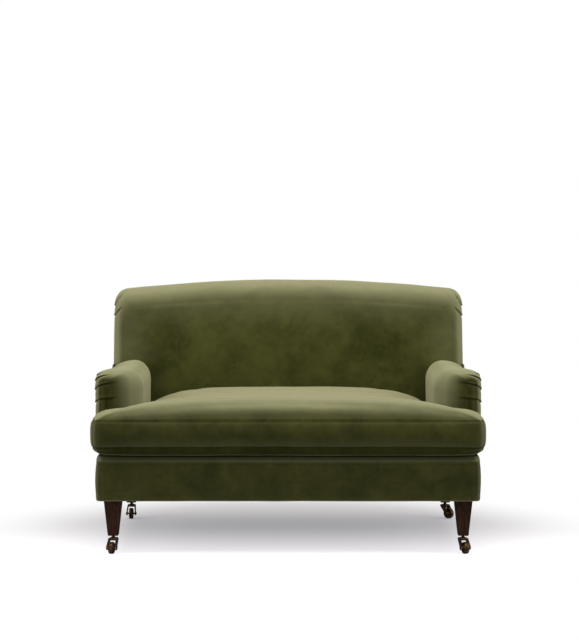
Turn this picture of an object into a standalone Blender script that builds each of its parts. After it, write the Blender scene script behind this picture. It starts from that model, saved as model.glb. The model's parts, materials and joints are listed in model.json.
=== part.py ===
"""A two-seat roll-arm sofa in velvet, as its separate pieces: beech frame, springs, pads, covers, loose seat
cushion, legs and swivel casters.

Metres, +Z up. The front faces -Y, and the origin lies on the floor under the middle."""

import math

import bmesh
import bpy
from mathutils import Matrix, Vector

# Clearances and cloth
gap = 0.0003
soft_gap = 0.0006
pad_clearance = 0.002
screw_merge = 0.00001
cutter_overrun = 0.05
skin = 0.003
deck_edge = 0.001
cambric_thickness = 0.0015
border_skin = 0.004
panel_skin = 0.004

# Base
base_half_width = 0.649
base_front = -0.440
base_bottom = 0.180
deck_top = 0.335
rail_drop = 0.035
rail_top = deck_top - rail_drop
border_corner_radius = 0.027
border_lip_radius = 0.024
border_foot_radius = 0.004
border_return = 0.012
rail_thickness = 0.028
side_rail_thickness = 0.034
corner_block_size = 0.065
corner_block_height = 0.060
wood_edge = 0.002

# Arms
arm_front = -0.300
arm_overhang = 0.019
arm_width = 0.160
arm_outer = base_half_width + arm_overhang
arm_inner = arm_outer - arm_width
arm_top = 0.607
arm_inner_drop = 0.072
arm_outer_drop = 0.070
arm_crown_share = 0.375
arm_tuck_drop = 0.107
arm_tuck_inset = 0.004
arm_foot_inset = 0.0145
arm_front_inner_depth = 0.150
arm_front_outer_depth = 0.045
arm_front_inner_round = 0.088
arm_front_top_round = 0.032
arm_front_outer_round = 0.022
arm_pad_inner = 0.0337
arm_pad_top = 0.032
arm_pad_front = 0.062
arm_roll_lip = 0.077
arm_pad_outer = 0.028
arm_lower_rail_rise = 0.060
arm_lower_rail_height = 0.045
arm_panel_slope_share = 0.017

# Back
back_overhang = 0.005
back_half_width = base_half_width + back_overhang
back_tuck_depth = 0.035
back_low_half_width = arm_inner + back_tuck_depth
crest_height = 0.900
crest_drop = 0.026
crest_drop_run = 0.550
crest_corner_radius = 0.045
shoulder_drop = 0.017
shoulder_height = arm_top - shoulder_drop
inside_back_at_deck = 0.170
inside_back_at_crest = 0.300
outside_back_at_base = 0.390
outside_back_at_crest = 0.452
back_round_side = 0.038
back_round_top = 0.080
back_round_depth = 0.070
back_rear_round = 0.020
back_crown = 0.010
crown_start_inset = 0.112
crown_full_inset = 0.230
crown_start_drop = 0.060
back_crown_at_arms = 0.002
back_crown_bow = 0.040
crown_full_drop = 0.180
post_depth = 0.045
post_width = 0.040
back_pad_side = 0.0167
back_pad_top = 0.032
crest_rail_height = 0.140
crest_rail_bottom = crest_height - crest_rail_height
stuffing_rail_rise = 0.060
stuffing_rail_height = 0.060

# Seat springs
spring_wire = 0.0036
spring_count = 5
spring_side_room = 0.128
spring_spacing = (arm_inner - spring_side_room) / ((spring_count - 1) / 2)
spring_half_width = 0.024
spring_pitch = 0.046
spring_end_inset = 0.008

# Loose cushion
cushion_overhang = 0.014
cushion_half_width = base_half_width + cushion_overhang
cushion_side_room = 0.005
cushion_inner_half_width = arm_inner - cushion_side_room
cushion_front_overhang = 0.020
cushion_front = base_front - cushion_front_overhang
cushion_wing_rear = arm_front - cushion_side_room
cushion_corner_room = 0.012
cushion_rear_room = 0.015
cushion_rear = inside_back_at_deck - cushion_rear_room
cushion_bottom_room = 0.0005
cushion_bottom = deck_top + cushion_bottom_room
cushion_seam_rise = 0.028
cushion_bottom_seam = deck_top + cushion_seam_rise
cushion_boxing_height = 0.089
cushion_top_seam = cushion_bottom_seam + cushion_boxing_height
cushion_crown = 0.067
cushion_wing_crown = 0.048
cushion_corner_radius = 0.032
cushion_draw_in = 0.005
cushion_boxing_bulge = 0.003
cushion_core_clearance = 0.0015
zip_end_distance = 0.053
zip_half_length = cushion_inner_half_width - zip_end_distance
zip_half_height = 0.006
zip_thickness = 0.004
slider_length = 0.010
slider_half_height = 0.0045
slider_thickness = 0.003
slider_start = zip_half_length - slider_length
pull_length = 0.022
pull_half_width = 0.003
pull_thickness = 0.0014

# Legs and casters
leg_side_inset = 0.0565
leg_half_span = base_half_width - leg_side_inset
leg_front_inset = 0.045
front_leg_y = base_front + leg_front_inset
leg_rear_inset = 0.045
rear_leg_rake = 0.020
rear_leg_top_y = outside_back_at_base - leg_rear_inset
rear_leg_y = rear_leg_top_y + rear_leg_rake
leg_foot = 0.060
leg_top_width = 0.061
leg_foot_width = 0.035
leg_edge = 0.0025
stem_radius = 0.004
stem_length = 0.026
neck_radius = 0.0075
kingpin_radius = 0.0035
kingpin_clearance = 0.0003
kingpin_head_radius = 0.006
kingpin_head_height = 0.0026
fork_crown = 0.052
fork_thickness = 0.0025
fork_crown_half_width = 0.015
fork_end_half_width = 0.018
fork_end_height = 0.0125
fork_shoulder_drop = 0.004
fork_crown_half_depth = 0.0115
fork_axle_half_depth = 0.0075
fork_end_half_depth = 0.005
wheel_radius = 0.020
wheel_half_width = 0.0075
wheel_edge = 0.0015
wheel_web_half_width = 0.004
wheel_hub_radius = 0.0075
wheel_hub_half_width = 0.009
wheel_rim_radius = 0.0155
trail = 0.018
axle_radius = 0.003
axle_clearance = 0.0003
axle_head_radius = 0.0045
axle_head_height = 0.0015
caster_yaw = {"front_left": -12.8, "front_right": 19.5, "rear_left": 0.0, "rear_right": 46.2}

# Shares of the height of the back's sides at which its crown is drawn, and of half its arch
crown_side_shares = (0, 0.45, 0.9)
crest_shares = (0.8, 0.6, 0.4, 0.2)

# Where the two bends of one side of a spring's turn stand in that turn
spring_bend_shares = (0.25, 0.75)

# Shares of the grid lines across the cushion
main_column_shares = (0.25, 0.5, 0.72, 0.86, 0.95, 1)
wing_column_shares = (0.2, 0.45, 0.7, 0.88, 1)
wing_row_shares = (0.07, 0.25, 0.5, 0.75, 1)
main_row_shares = (0.015, 0.045, 0.1, 0.19, 0.32, 0.5, 0.75, 0.92, 1)
core_main_column_shares = (0.5, 0.86, 1)
core_wing_column_shares = (0.5, 1)
core_wing_row_shares = (0.25, 0.75, 1)
core_main_row_shares = (0.015, 0.045, 0.1, 0.19, 0.32, 0.75, 1)

# Colours (linear RGB), roughness and metallic value of each kind of surface
finishes = {
    "velvet": ((0.052, 0.056, 0.013), 0.9, 0.0),
    "beech": ((0.42, 0.27, 0.14), 0.6, 0.0),
    "walnut": ((0.030, 0.012, 0.006), 0.4, 0.0),
    "brass": ((0.21, 0.12, 0.045), 0.35, 1.0),
    "steel": ((0.30, 0.30, 0.31), 0.4, 1.0),
    "foam": ((0.62, 0.56, 0.38), 0.95, 0.0),
    "stuffing": ((0.45, 0.42, 0.36), 0.95, 0.0),
    "cambric": ((0.010, 0.010, 0.011), 0.9, 0.0),
}

rail_bottom = base_bottom + border_skin + gap
frame_front = base_front + border_skin + gap
frame_half_width = base_half_width - panel_skin - gap
back_slope = (outside_back_at_crest - outside_back_at_base) / (crest_height - base_bottom)
inside_slope = (inside_back_at_crest - inside_back_at_deck) / (crest_height - deck_top)
arm_lower_rail_bottom = rail_top + arm_lower_rail_rise
stuffing_rail_bottom = rail_top + stuffing_rail_rise
arm_frame_inset = skin + arm_pad_inner + gap
arm_frame_width = arm_width - arm_frame_inset - arm_pad_outer
post_outer = back_half_width - skin - back_pad_side
pad_foot = rail_top + gap + spring_wire + gap
arm_foot = rail_top + gap


def clear_scene():
    for obj in list(bpy.data.objects):
        bpy.data.objects.remove(obj, do_unlink=True)


def new_collection(name):
    collection = bpy.data.collections.new(name)
    bpy.context.scene.collection.children.link(collection)
    return collection


def finish_with(obj, kind):
    """Gives the object a material of its own."""
    colour, roughness, metallic = finishes[kind]
    material = bpy.data.materials.new(obj.name)
    material.use_nodes = True
    shader = material.node_tree.nodes["Principled BSDF"]
    shader.inputs["Base Color"].default_value = (*colour, 1)
    shader.inputs["Roughness"].default_value = roughness
    shader.inputs["Metallic"].default_value = metallic
    material.diffuse_color = (*colour, 1)
    obj.data.materials.append(material)


def add_mesh(name, bm, kind, smooth=True):
    """Makes a bmesh an object of the sofa, with faces pointing out."""
    bmesh.ops.recalc_face_normals(bm, faces=bm.faces)
    mesh = bpy.data.meshes.new(name)
    bm.to_mesh(mesh)
    bm.free()
    if smooth:
        mesh.shade_smooth()
        mesh.set_sharp_from_angle(angle=math.radians(40))
    obj = bpy.data.objects.new(name, mesh)
    sofa.objects.link(obj)
    finish_with(obj, kind)
    return obj


def add_cutter(name, bm):
    """Makes a bmesh a hidden cutter."""
    bmesh.ops.recalc_face_normals(bm, faces=bm.faces)
    mesh = bpy.data.meshes.new(name)
    bm.to_mesh(mesh)
    bm.free()
    cutter = bpy.data.objects.new(name, mesh)
    cutter.hide_render = True
    cutter.display_type = "WIRE"
    cutters.objects.link(cutter)
    return cutter


def boolean(obj, tool, operation="DIFFERENCE"):
    modifier = obj.modifiers.new(tool.name, "BOOLEAN")
    modifier.operation = operation
    modifier.object = tool


def thicken(obj, thickness):
    """Gives an open sheet its thickness, inwards."""
    modifier = obj.modifiers.new("thickness", "SOLIDIFY")
    modifier.thickness = thickness
    modifier.offset = -1
    modifier.use_even_offset = True


def soften_edges(obj, width, segments=1):
    modifier = obj.modifiers.new("edges", "BEVEL")
    modifier.width = width
    modifier.segments = segments
    modifier.limit_method = "ANGLE"


def box(low, high):
    """A bmesh box between two corners."""
    bm = bmesh.new()
    low, high = Vector(low), Vector(high)
    place = Matrix.Translation((low + high) / 2) @ Matrix.Diagonal((*(high - low), 1))
    bmesh.ops.create_cube(bm, size=1, matrix=place)
    return bm


def lean(bm, slope, height):
    """Shears a bmesh back with height, as the back of the sofa leans."""
    for vert in bm.verts:
        vert.co.y += (vert.co.z - height) * slope


def beam(name, low, high, slope=0.0):
    """A wooden rail between two corners, raked by a slope from the bottom of the rails."""
    bm = box(low, high)
    lean(bm, slope, rail_bottom)
    soften_edges(add_mesh(name, bm, "beech"), wood_edge)


def prism(points, shift):
    """A flat outline pushed along a vector."""
    bm = bmesh.new()
    face = bm.faces.new([bm.verts.new(point) for point in points])
    pushed = bmesh.ops.extrude_face_region(bm, geom=[face])["geom"]
    moved = [part for part in pushed if isinstance(part, bmesh.types.BMVert)]
    bmesh.ops.translate(bm, verts=moved, vec=Vector(shift))
    return bm


def cylinder(radius, start, end, sides=16):
    """A bmesh cylinder from one point to another, turned half a step so that no edge of it lies on an axis."""
    bm = bmesh.new()
    start, end = Vector(start), Vector(end)
    turn = (end - start).to_track_quat("Z", "Y").to_matrix().to_4x4()
    half_step = Matrix.Rotation(math.pi / sides, 4, "Z")
    place = Matrix.Translation((start + end) / 2) @ turn @ half_step
    depth = (end - start).length
    bmesh.ops.create_cone(
        bm, cap_ends=True, segments=sides, radius1=radius, radius2=radius, depth=depth, matrix=place
    )
    return bm


def turned(name, profile, kind, steps=16):
    """A turned piece about its own Z axis, from (radius, height) points that run down its outer side.

    The profile stands half a step round, so that a flat of the piece and not an edge lies along its X axis."""
    bm = bmesh.new()
    half_step = math.pi / steps
    across, along = math.cos(half_step), math.sin(half_step)
    verts = [bm.verts.new((radius * across, radius * along, height)) for radius, height in profile]
    closed = profile[0][0] > 0
    for start, end in zip(verts, verts[1:] + verts[:1] if closed else verts[1:]):
        bm.edges.new((start, end))
    mesh = bpy.data.meshes.new(name)
    bm.to_mesh(mesh)
    bm.free()
    obj = bpy.data.objects.new(name, mesh)
    sofa.objects.link(obj)
    modifier = obj.modifiers.new("turning", "SCREW")
    modifier.steps = steps
    modifier.render_steps = steps
    modifier.use_merge_vertices = True
    modifier.merge_threshold = screw_merge
    modifier.use_smooth_shade = True
    finish_with(obj, kind)
    return obj


def loft(bm, rings, keep=None):
    """Quads between neighbouring rings of equal counts, but for strips that keep(row, strip) leaves out."""
    rows = [[bm.verts.new(point) for point in ring] for ring in rings]
    for row, (near, far) in enumerate(zip(rows, rows[1:])):
        for i in range(len(near) - 1):
            if keep is None or keep(row, i):
                bm.faces.new((near[i], near[i + 1], far[i + 1], far[i]))
    return rows


def drop_loose(bm):
    bmesh.ops.delete(bm, geom=[vert for vert in bm.verts if not vert.link_faces], context="VERTS")


def arc(centre_x, centre_z, radius, start, end, steps):
    """Points on a quarter or other arc in the XZ plane, angles in degrees."""
    angles = [math.radians(start + (end - start) * i / steps) for i in range(steps + 1)]
    return [(centre_x + radius * math.cos(a), centre_z + radius * math.sin(a)) for a in angles]


def quarter_rounding(steps):
    """Pairs of shares (drawn in, set back) round a quarter of an edge, from the face to the side."""
    angles = [math.pi / 2 * (1 - i / steps) for i in range(steps + 1)]
    return [(1 - math.cos(angle), 1 - math.sin(angle)) for angle in angles]


def inside_back_y(z):
    return inside_back_at_deck + (z - deck_top) * inside_slope


def outside_back_y(z):
    return outside_back_at_base + (z - base_bottom) * back_slope


def rounded_base(inset, rear):
    """The base as one block with rounded front corners, lip and foot, drawn in by a wall."""
    half = base_half_width - inset
    front = base_front + inset
    bm = box((-half, front, base_bottom + inset), (half, rear + cutter_overrun, deck_top - inset))
    top, bottom = deck_top - inset, base_bottom + inset
    uprights = [e for e in bm.edges if is_upright(e) and all(v.co.y < front + gap for v in e.verts)]
    bevel(bm, uprights, border_corner_radius - inset, 4)
    lip = [e for e in bm.edges if all(v.co.z > top - gap for v in e.verts)]
    bevel(bm, [e for e in lip if not is_at_rear(e, rear)], border_lip_radius - inset, 4)
    if border_foot_radius > inset:
        foot = [e for e in bm.edges if all(v.co.z < bottom + gap for v in e.verts)]
        bevel(bm, [e for e in foot if not is_at_rear(e, rear)], border_foot_radius - inset, 1)
    return bm


def is_upright(edge):
    start, end = edge.verts
    return (start.co.xy - end.co.xy).length < gap


def is_at_rear(edge, rear):
    return all(v.co.y > rear for v in edge.verts)


def bevel(bm, edges, width, segments):
    bmesh.ops.bevel(
        bm,
        geom=edges,
        offset=width,
        segments=segments,
        profile=0.5,
        affect="EDGES",
        clamp_overlap=True,
        material=-1,
    )


def cut_away(bm, point, normal, fill=False):
    """Removes what lies beyond a plane, and closes the cut if asked."""
    geometry = bm.verts[:] + bm.edges[:] + bm.faces[:]
    cut = bmesh.ops.bisect_plane(bm, geom=geometry, plane_co=point, plane_no=normal, clear_outer=True)
    if fill:
        edges = [part for part in cut["geom_cut"] if isinstance(part, bmesh.types.BMEdge)]
        bmesh.ops.edgenet_fill(bm, edges=edges)


def make_base_frame():
    side = frame_half_width - side_rail_thickness
    rail_rear = frame_front + rail_thickness
    post_front = outside_back_y(rail_bottom) - panel_skin - gap - post_depth
    bm = box((-frame_half_width, frame_front, rail_bottom), (frame_half_width, rail_rear, rail_top))
    corners = [e for e in bm.edges if is_upright(e) and all(v.co.y < frame_front + gap for v in e.verts)]
    bevel(bm, corners, border_corner_radius - border_skin, 4)
    soften_edges(add_mesh("front_rail", bm, "beech"), wood_edge)
    for name, sign in (("left", -1), ("right", 1)):
        xs = sorted((sign * side, sign * frame_half_width))
        beam(f"{name}_side_rail", (xs[0], rail_rear + gap, rail_bottom), (xs[1], post_front - gap, rail_top))
        inner = sorted((sign * (side - gap), sign * (side - gap - corner_block_size)))
        for place, start in (("front", rail_rear + gap), ("rear", post_front - gap - corner_block_size)):
            low = (inner[0], start, rail_bottom)
            high = (inner[1], start + corner_block_size, rail_bottom + corner_block_height)
            beam(f"{place}_{name}_corner_block", low, high)


def make_back_frame():
    rear = outside_back_y(rail_bottom) - panel_skin - gap
    inner = post_outer - post_width
    for name, sign in (("left", -1), ("right", 1)):
        xs = sorted((sign * inner, sign * post_outer))
        low = (xs[0], rear - post_depth, rail_bottom)
        beam(f"{name}_back_post", low, (xs[1], rear, crest_rail_bottom - gap), back_slope)
    span = inner - gap
    beam("back_rail", (-span, rear - rail_thickness, rail_bottom), (span, rear, rail_top), back_slope)
    low = (-span, rear - rail_thickness, stuffing_rail_bottom)
    beam("stuffing_rail", low, (span, rear, stuffing_rail_bottom + stuffing_rail_height), back_slope)
    drawn = skin + back_pad_side
    outline = back_outline(drawn, skin + back_pad_top, crest_rail_bottom)
    outline = [(x, rear - rail_thickness, z) for x, z in outline]
    bm = prism(outline, (0, rail_thickness, 0))
    lean(bm, back_slope, rail_bottom)
    soften_edges(add_mesh("crest_rail", bm, "beech"), wood_edge)


def make_arm_frames():
    inner = arm_inner + arm_frame_inset
    outer = inner + arm_frame_width
    front = arm_front + skin + arm_pad_front + gap
    top = arm_top - skin - arm_pad_top - gap
    rail_start = front + rail_thickness + gap
    for name, sign in (("left", -1), ("right", 1)):
        xs = sorted((sign * inner, sign * outer))
        beam(f"{name}_arm_post", (xs[0], front, rail_top + gap), (xs[1], front + rail_thickness, top))
        bottom = top - rail_thickness
        end = outside_back_y(bottom) - panel_skin - gap - post_depth - gap
        beam(f"{name}_arm_top_rail", (xs[0], rail_start, bottom), (xs[1], end, top))
        lower = sorted((sign * (outer - rail_thickness), sign * outer))
        end = outside_back_y(arm_lower_rail_bottom) - panel_skin - gap - post_depth - gap
        low = (lower[0], rail_start, arm_lower_rail_bottom)
        beam(f"{name}_arm_lower_rail", low, (lower[1], end, arm_lower_rail_bottom + arm_lower_rail_height))


def make_springs():
    """Serpentine springs that lie on the front and back rails."""
    start = frame_front + spring_end_inset
    end = outside_back_y(rail_top) - panel_skin - gap - spring_end_inset
    turns = round((end - start) / spring_pitch)
    pitch = (end - start) / turns
    for index in range(spring_count):
        centre = (index - (spring_count - 1) / 2) * spring_spacing
        points = [(centre, start)]
        for turn in range(turns):
            side = centre + (spring_half_width if turn % 2 else -spring_half_width)
            for share in spring_bend_shares:
                points.append((side, start + (turn + share) * pitch))
        points.append((centre, end))
        curve = bpy.data.curves.new(f"seat_spring_{index + 1}", "CURVE")
        curve.dimensions = "3D"
        curve.bevel_depth = spring_wire / 2
        curve.bevel_resolution = 0
        curve.use_fill_caps = True
        spline = curve.splines.new("POLY")
        spline.points.add(len(points) - 1)
        for point, (x, y) in zip(spline.points, points):
            point.co = (x, y, rail_top + gap + spring_wire / 2, 1)
        obj = bpy.data.objects.new(curve.name, curve)
        sofa.objects.link(obj)
        finish_with(obj, "steel")


def make_front_border():
    """The velvet round the front of the base: lip, front, corners and a narrow return under the rails."""
    bm = rounded_base(0, arm_front)
    bottom = [f for f in bm.faces if all(v.co.z < base_bottom + gap for v in f.verts)]
    bmesh.ops.inset_region(bm, faces=bottom, thickness=border_return - border_foot_radius)
    bmesh.ops.delete(bm, geom=bottom, context="FACES")
    cut_away(bm, (0, arm_front - gap, 0), (0, 1, 0))
    thicken(add_mesh("front_border_cover", bm, "velvet"), border_skin)


def make_seat_pad():
    """The pad on the springs, with a roll along the front edge and a flat part between the arms."""
    wall = border_skin + soft_gap
    bm = rounded_base(wall, arm_front)
    cut_away(bm, (0, arm_front - gap, 0), (0, 1, 0), fill=True)
    cut_away(bm, (0, 0, pad_foot), (0, 0, -1), fill=True)
    pad = add_mesh("seat_pad", bm, "stuffing")
    half = arm_inner - soft_gap
    rear = inside_back_y(pad_foot) - back_crown - soft_gap
    start = arm_front - cutter_overrun
    tool = add_cutter("seat_pad_middle", box((-half, start, pad_foot), (half, rear, deck_top - wall)))
    boolean(pad, tool, "UNION")
    low = (-half, arm_front + gap, deck_top - wall + soft_gap)
    soften_edges(add_mesh("deck_cover", box(low, (half, rear, deck_top)), "velvet"), deck_edge)


def make_dust_cover():
    """Black cloth under the rails, notched at the four legs."""
    side = base_half_width - border_return - 2 * gap
    front = base_front + border_return + 2 * gap
    rear = outside_back_at_base - panel_skin - 2 * gap
    notch_x = leg_half_span - leg_top_width / 2 - soft_gap
    notch_front = front_leg_y + leg_top_width / 2 + soft_gap
    notch_rear = rear_leg_top_y - leg_top_width / 2 - soft_gap
    right = [(notch_x, front), (notch_x, notch_front), (side, notch_front), (side, notch_rear)]
    right += [(notch_x, notch_rear), (notch_x, rear)]
    left = [(-x, y) for x, y in reversed(right)]
    top = rail_bottom - gap
    bm = prism([(x, y, top - cambric_thickness) for x, y in right + left], (0, 0, cambric_thickness))
    add_mesh("dust_cover", bm, "cambric")


def oval(centre_x, centre_z, width, height, start, end, steps):
    """Points on a quarter of an oval in the XZ plane, angles in degrees."""
    unit = arc(0, 0, 1, start, end, steps)
    return [(centre_x + width * x, centre_z + height * z) for x, z in unit]


def arm_outline(wall, inner, top, outer, foot):
    """The right arm's section, from its inner foot over the roll to its outer foot, as (x, z) points."""
    left = arm_inner + wall + inner
    right = arm_outer - wall - outer
    crown = arm_top - wall - top
    peak = left + (right - left) * arm_crown_share
    inner_drop = arm_inner_drop - wall - top
    outer_drop = arm_outer_drop - wall - top
    points = [(left, foot)]
    points += oval(peak, crown - inner_drop, peak - left, inner_drop, 180, 90, 5)
    points += oval(peak, crown - outer_drop, right - peak, outer_drop, 90, 0, 5)[1:]
    points += [(right - arm_tuck_inset, arm_top - arm_tuck_drop), (right - arm_foot_inset, foot)]
    return points


def arm_front_y(x, left, right, wall, set_back):
    """How far forward a point of the arm's front rounding lies. It is deep at the inner side of the arm
    and shallow at the outer side."""
    to_inner_share = (right - x) / (right - left)
    depth = arm_front_outer_depth + (arm_front_inner_depth - arm_front_outer_depth) * to_inner_share**2
    return arm_front + wall + (depth - wall) * set_back


def arm_rings(wall):
    """Sections of the right arm from its rounded front to the inside back."""
    rings = []
    for drawn, set_back in quarter_rounding(5):
        inner = (arm_front_inner_round - wall) * drawn
        top = (arm_front_top_round - wall) * drawn
        outer = (arm_front_outer_round - wall) * drawn
        outline = arm_outline(wall, inner, top, outer, arm_foot)
        left, right = outline[0][0], max(x for x, _ in outline)
        rings.append([(x, arm_front_y(x, left, right, wall, set_back), z) for x, z in outline])
    outline = arm_outline(wall, 0, 0, 0, arm_foot)
    rings.append([(x, inside_back_y(z) - back_crown_at_arms - soft_gap, z) for x, z in outline])
    return rings


def arm_panel_front():
    """The outside panel starts behind the rounding of the cover's outer foot."""
    return arm_front_y(arm_outer - arm_foot_inset, arm_inner, arm_outer, 0, 1) + soft_gap


def mirrored(bm):
    bmesh.ops.scale(bm, vec=(-1, 1, 1), verts=bm.verts)
    bmesh.ops.reverse_faces(bm, faces=bm.faces)


def make_arm_cover(name, sign):
    """Velvet over the inner side, roll and front of an arm, open below the roll on the outer side."""
    bm = bmesh.new()
    rings = arm_rings(0)
    below_roll = len(rings[0]) - 2
    rows = loft(bm, rings, lambda row, strip: strip < below_roll or row < len(rings) - 2)
    bm.faces.new(rows[0])
    drop_loose(bm)
    if sign < 0:
        mirrored(bm)
    thicken(add_mesh(f"{name}_arm_cover", bm, "velvet"), skin)


def make_arm_pad(name, sign):
    """Stuffing inside the cover, with a pocket for the arm's frame that is open to the outer side and below."""
    bm = bmesh.new()
    rows = loft(bm, arm_rings(skin + pad_clearance))
    bm.faces.new(rows[0])
    bm.faces.new(rows[-1])
    for near, far in zip(rows, rows[1:]):
        bm.faces.new((near[0], near[-1], far[-1], far[0]))
    inner = arm_inner + skin + arm_pad_inner
    outer = inner + gap + arm_frame_width + gap
    top = arm_top - skin - arm_pad_top
    lip = arm_top - arm_roll_lip
    below = arm_foot - cutter_overrun
    beyond = arm_outer + cutter_overrun
    section = [(inner, below), (inner, top), (outer, top), (outer, lip), (beyond, lip), (beyond, below)]
    start = arm_front + skin + arm_pad_front
    length = inside_back_at_crest + cutter_overrun - start
    pocket = prism([(x, start, z) for x, z in section], (0, length, 0))
    behind_panel = base_half_width - panel_skin - soft_gap
    slot = box((behind_panel, arm_panel_front() - pad_clearance, below), (beyond, start + length, lip + soft_gap))
    if sign < 0:
        mirrored(bm)
        mirrored(pocket)
        mirrored(slot)
    pad = add_mesh(f"{name}_arm_pad", bm, "stuffing")
    boolean(pad, add_cutter(f"{name}_arm_pocket", pocket))
    boolean(pad, add_cutter(f"{name}_arm_panel_slot", slot))


def make_outside_arm(name, sign):
    """The flat panel on an arm's outer side, tucked under the roll and run up to the shoulder of the back."""
    lip = arm_top - arm_roll_lip - gap
    arm_end = inside_back_y(arm_top) + soft_gap
    top = shoulder_height - gap
    rounding_end = arm_panel_front()
    outline = [(arm_front + gap, base_bottom), (arm_front + gap, arm_foot - soft_gap)]
    outline += [(rounding_end, arm_foot - soft_gap), (rounding_end, lip), (arm_end, lip), (arm_end, top)]
    outline += [(outside_back_y(top), top), (outside_back_at_base, base_bottom)]
    outer = base_half_width
    points = [(outer + (z - base_bottom) * arm_panel_slope_share, y, z) for y, z in outline]
    bm = prism(points, (-panel_skin, 0, 0))
    if sign < 0:
        mirrored(bm)
    add_mesh(f"{name}_outside_arm_panel", bm, "velvet")


def back_outline(side, top, foot, low_half_width=None, side_shares=(0,), shoulder=shoulder_height):
    """The back seen from the front, as (x, z) points from its right foot over the crest to its left foot."""
    half = back_half_width - side
    corner = crest_corner_radius
    run = half - corner

    def crest(x):
        return crest_height - top - crest_drop * (x / crest_drop_run) ** 2

    corner_start = crest(run) - corner
    if low_half_width is None:
        bow = back_crown_bow if len(side_shares) > 1 else 0
        right = [
            (half + bow * share * (1 - share), foot + (corner_start - foot) * share) for share in side_shares
        ]
    else:
        right = [(low_half_width, foot), (low_half_width, shoulder), (half, shoulder)]
    right += arc(run, corner_start, corner, 0, 90, 4)
    right += [(run * share, crest(run * share)) for share in crest_shares]
    left = [(-x, z) for x, z in reversed(right)]
    return right + [(0, crest(0))] + left


def back_rings(wall, rear_wall, foot):
    """Outlines of the back from its crowned face, round its edges and past the frame's front, to its rear."""
    frame_depth = panel_skin + gap + post_depth + soft_gap
    rings = []
    for side, top, crown in (
        (crown_full_inset, crown_full_drop, back_crown),
        (crown_start_inset, crown_start_drop, back_crown_at_arms),
    ):
        side, top = side + back_round_side + wall, top + back_round_top + wall
        outline = back_outline(side, top, foot, side_shares=crown_side_shares)
        rings.append([(x, inside_back_y(z) - crown + wall, z) for x, z in outline])
    places = []
    for drawn, set_back in quarter_rounding(4):
        depth = wall + (back_round_depth - wall) * set_back
        side, top = (back_round_side - wall) * drawn, (back_round_top - wall) * drawn
        places.append((side, top, lambda z, d=depth: inside_back_y(z) + d))
    places.append((0, 0, lambda z: outside_back_y(z) - frame_depth))
    for drawn, set_back in reversed(quarter_rounding(2)):
        depth = rear_wall + (back_rear_round - rear_wall) * set_back
        inset = (back_rear_round - wall) * drawn
        places.append((inset, inset, lambda z, d=depth: outside_back_y(z) - d))
    for side, top, y_of in places:
        low = back_low_half_width - wall
        outline = back_outline(side + wall, top + wall, foot, low, shoulder=shoulder_height + wall)
        rings.append([(x, y_of(z), z) for x, z in outline])
    return rings


def make_back_cover():
    """One cover over the face, crest and sides of the back, tucked in between the arms and open at the rear."""
    bm = bmesh.new()
    rings = back_rings(0, 0, pad_foot + 2 * soft_gap)
    strips = len(rings[0]) - 1
    frame_row = len(rings) - 4
    rows = loft(bm, rings, lambda row, strip: row < frame_row or 2 <= strip < strips - 2)
    bm.faces.new(rows[0])
    drop_loose(bm)
    thicken(add_mesh("back_cover", bm, "velvet"), skin)


def make_back_pad():
    """The back's stuffing, with a pocket for the frame that is open to the rear and below."""
    bm = bmesh.new()
    rows = loft(bm, back_rings(skin + pad_clearance, panel_skin + soft_gap, pad_foot))
    bm.faces.new(rows[0])
    bm.faces.new(rows[-1])
    for near, far in zip(rows, rows[1:]):
        bm.faces.new((near[0], near[-1], far[-1], far[0]))
    pad = add_mesh("back_pad", bm, "stuffing")
    front = outside_back_y(rail_bottom) - panel_skin - gap - post_depth - gap
    outline = back_outline(skin + back_pad_side - gap, skin + back_pad_top - gap, pad_foot - cutter_overrun)
    pocket = prism([(x, front, z) for x, z in outline], (0, post_depth + cutter_overrun, 0))
    lean(pocket, back_slope, rail_bottom)
    boolean(pad, add_cutter("back_frame_pocket", pocket))


def make_outside_back():
    drawn = back_rear_round + skin + gap
    outline = back_outline(drawn, drawn, base_bottom, frame_half_width, shoulder=shoulder_height - gap)
    bm = prism([(x, outside_back_at_base - panel_skin, z) for x, z in outline], (0, panel_skin, 0))
    lean(bm, back_slope, base_bottom)
    add_mesh("outside_back_panel", bm, "velvet")


def superellipse(share, power):
    """1 in the middle of a side and 0 at its ends, with round shoulders."""
    return math.sqrt(max(0, 1 - abs(2 * share - 1) ** power))


def pillow_height(x, y, wing_crown, main_crown, power):
    """How far the cushion swells over its seam: a bar along the front joined to the part between the arms."""
    across_wings = superellipse((x / cushion_half_width + 1) / 2, power + 2)
    along_wings = superellipse((y - cushion_front) / (cushion_wing_rear - cushion_front), power)
    across_main = superellipse(min(1, max(0, (x / cushion_inner_half_width + 1) / 2)), power)
    along_main = superellipse((y - cushion_front) / (cushion_rear - cushion_front), power)
    wings = wing_crown * across_wings * min(1, along_wings) if y < cushion_wing_rear else 0
    main = main_crown * across_main * along_main
    return (wings**3 + main**3) ** (1 / 3)


def round_corner(x, y, corner_x, corner_y):
    """Pulls a point near a convex corner of the cushion's outline onto its round."""
    inner_x = corner_x - math.copysign(cushion_corner_radius, corner_x)
    inward = 1 if corner_y < 0 and corner_y == cushion_front else -1
    inner_y = corner_y + inward * cushion_corner_radius
    dx, dy = x - inner_x, y - inner_y
    if dx * corner_x <= 0 or dy * inward >= 0:
        return x, y
    shrink = max(abs(dx), abs(dy)) / math.hypot(dx, dy)
    return inner_x + dx * shrink, inner_y + dy * shrink


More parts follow.
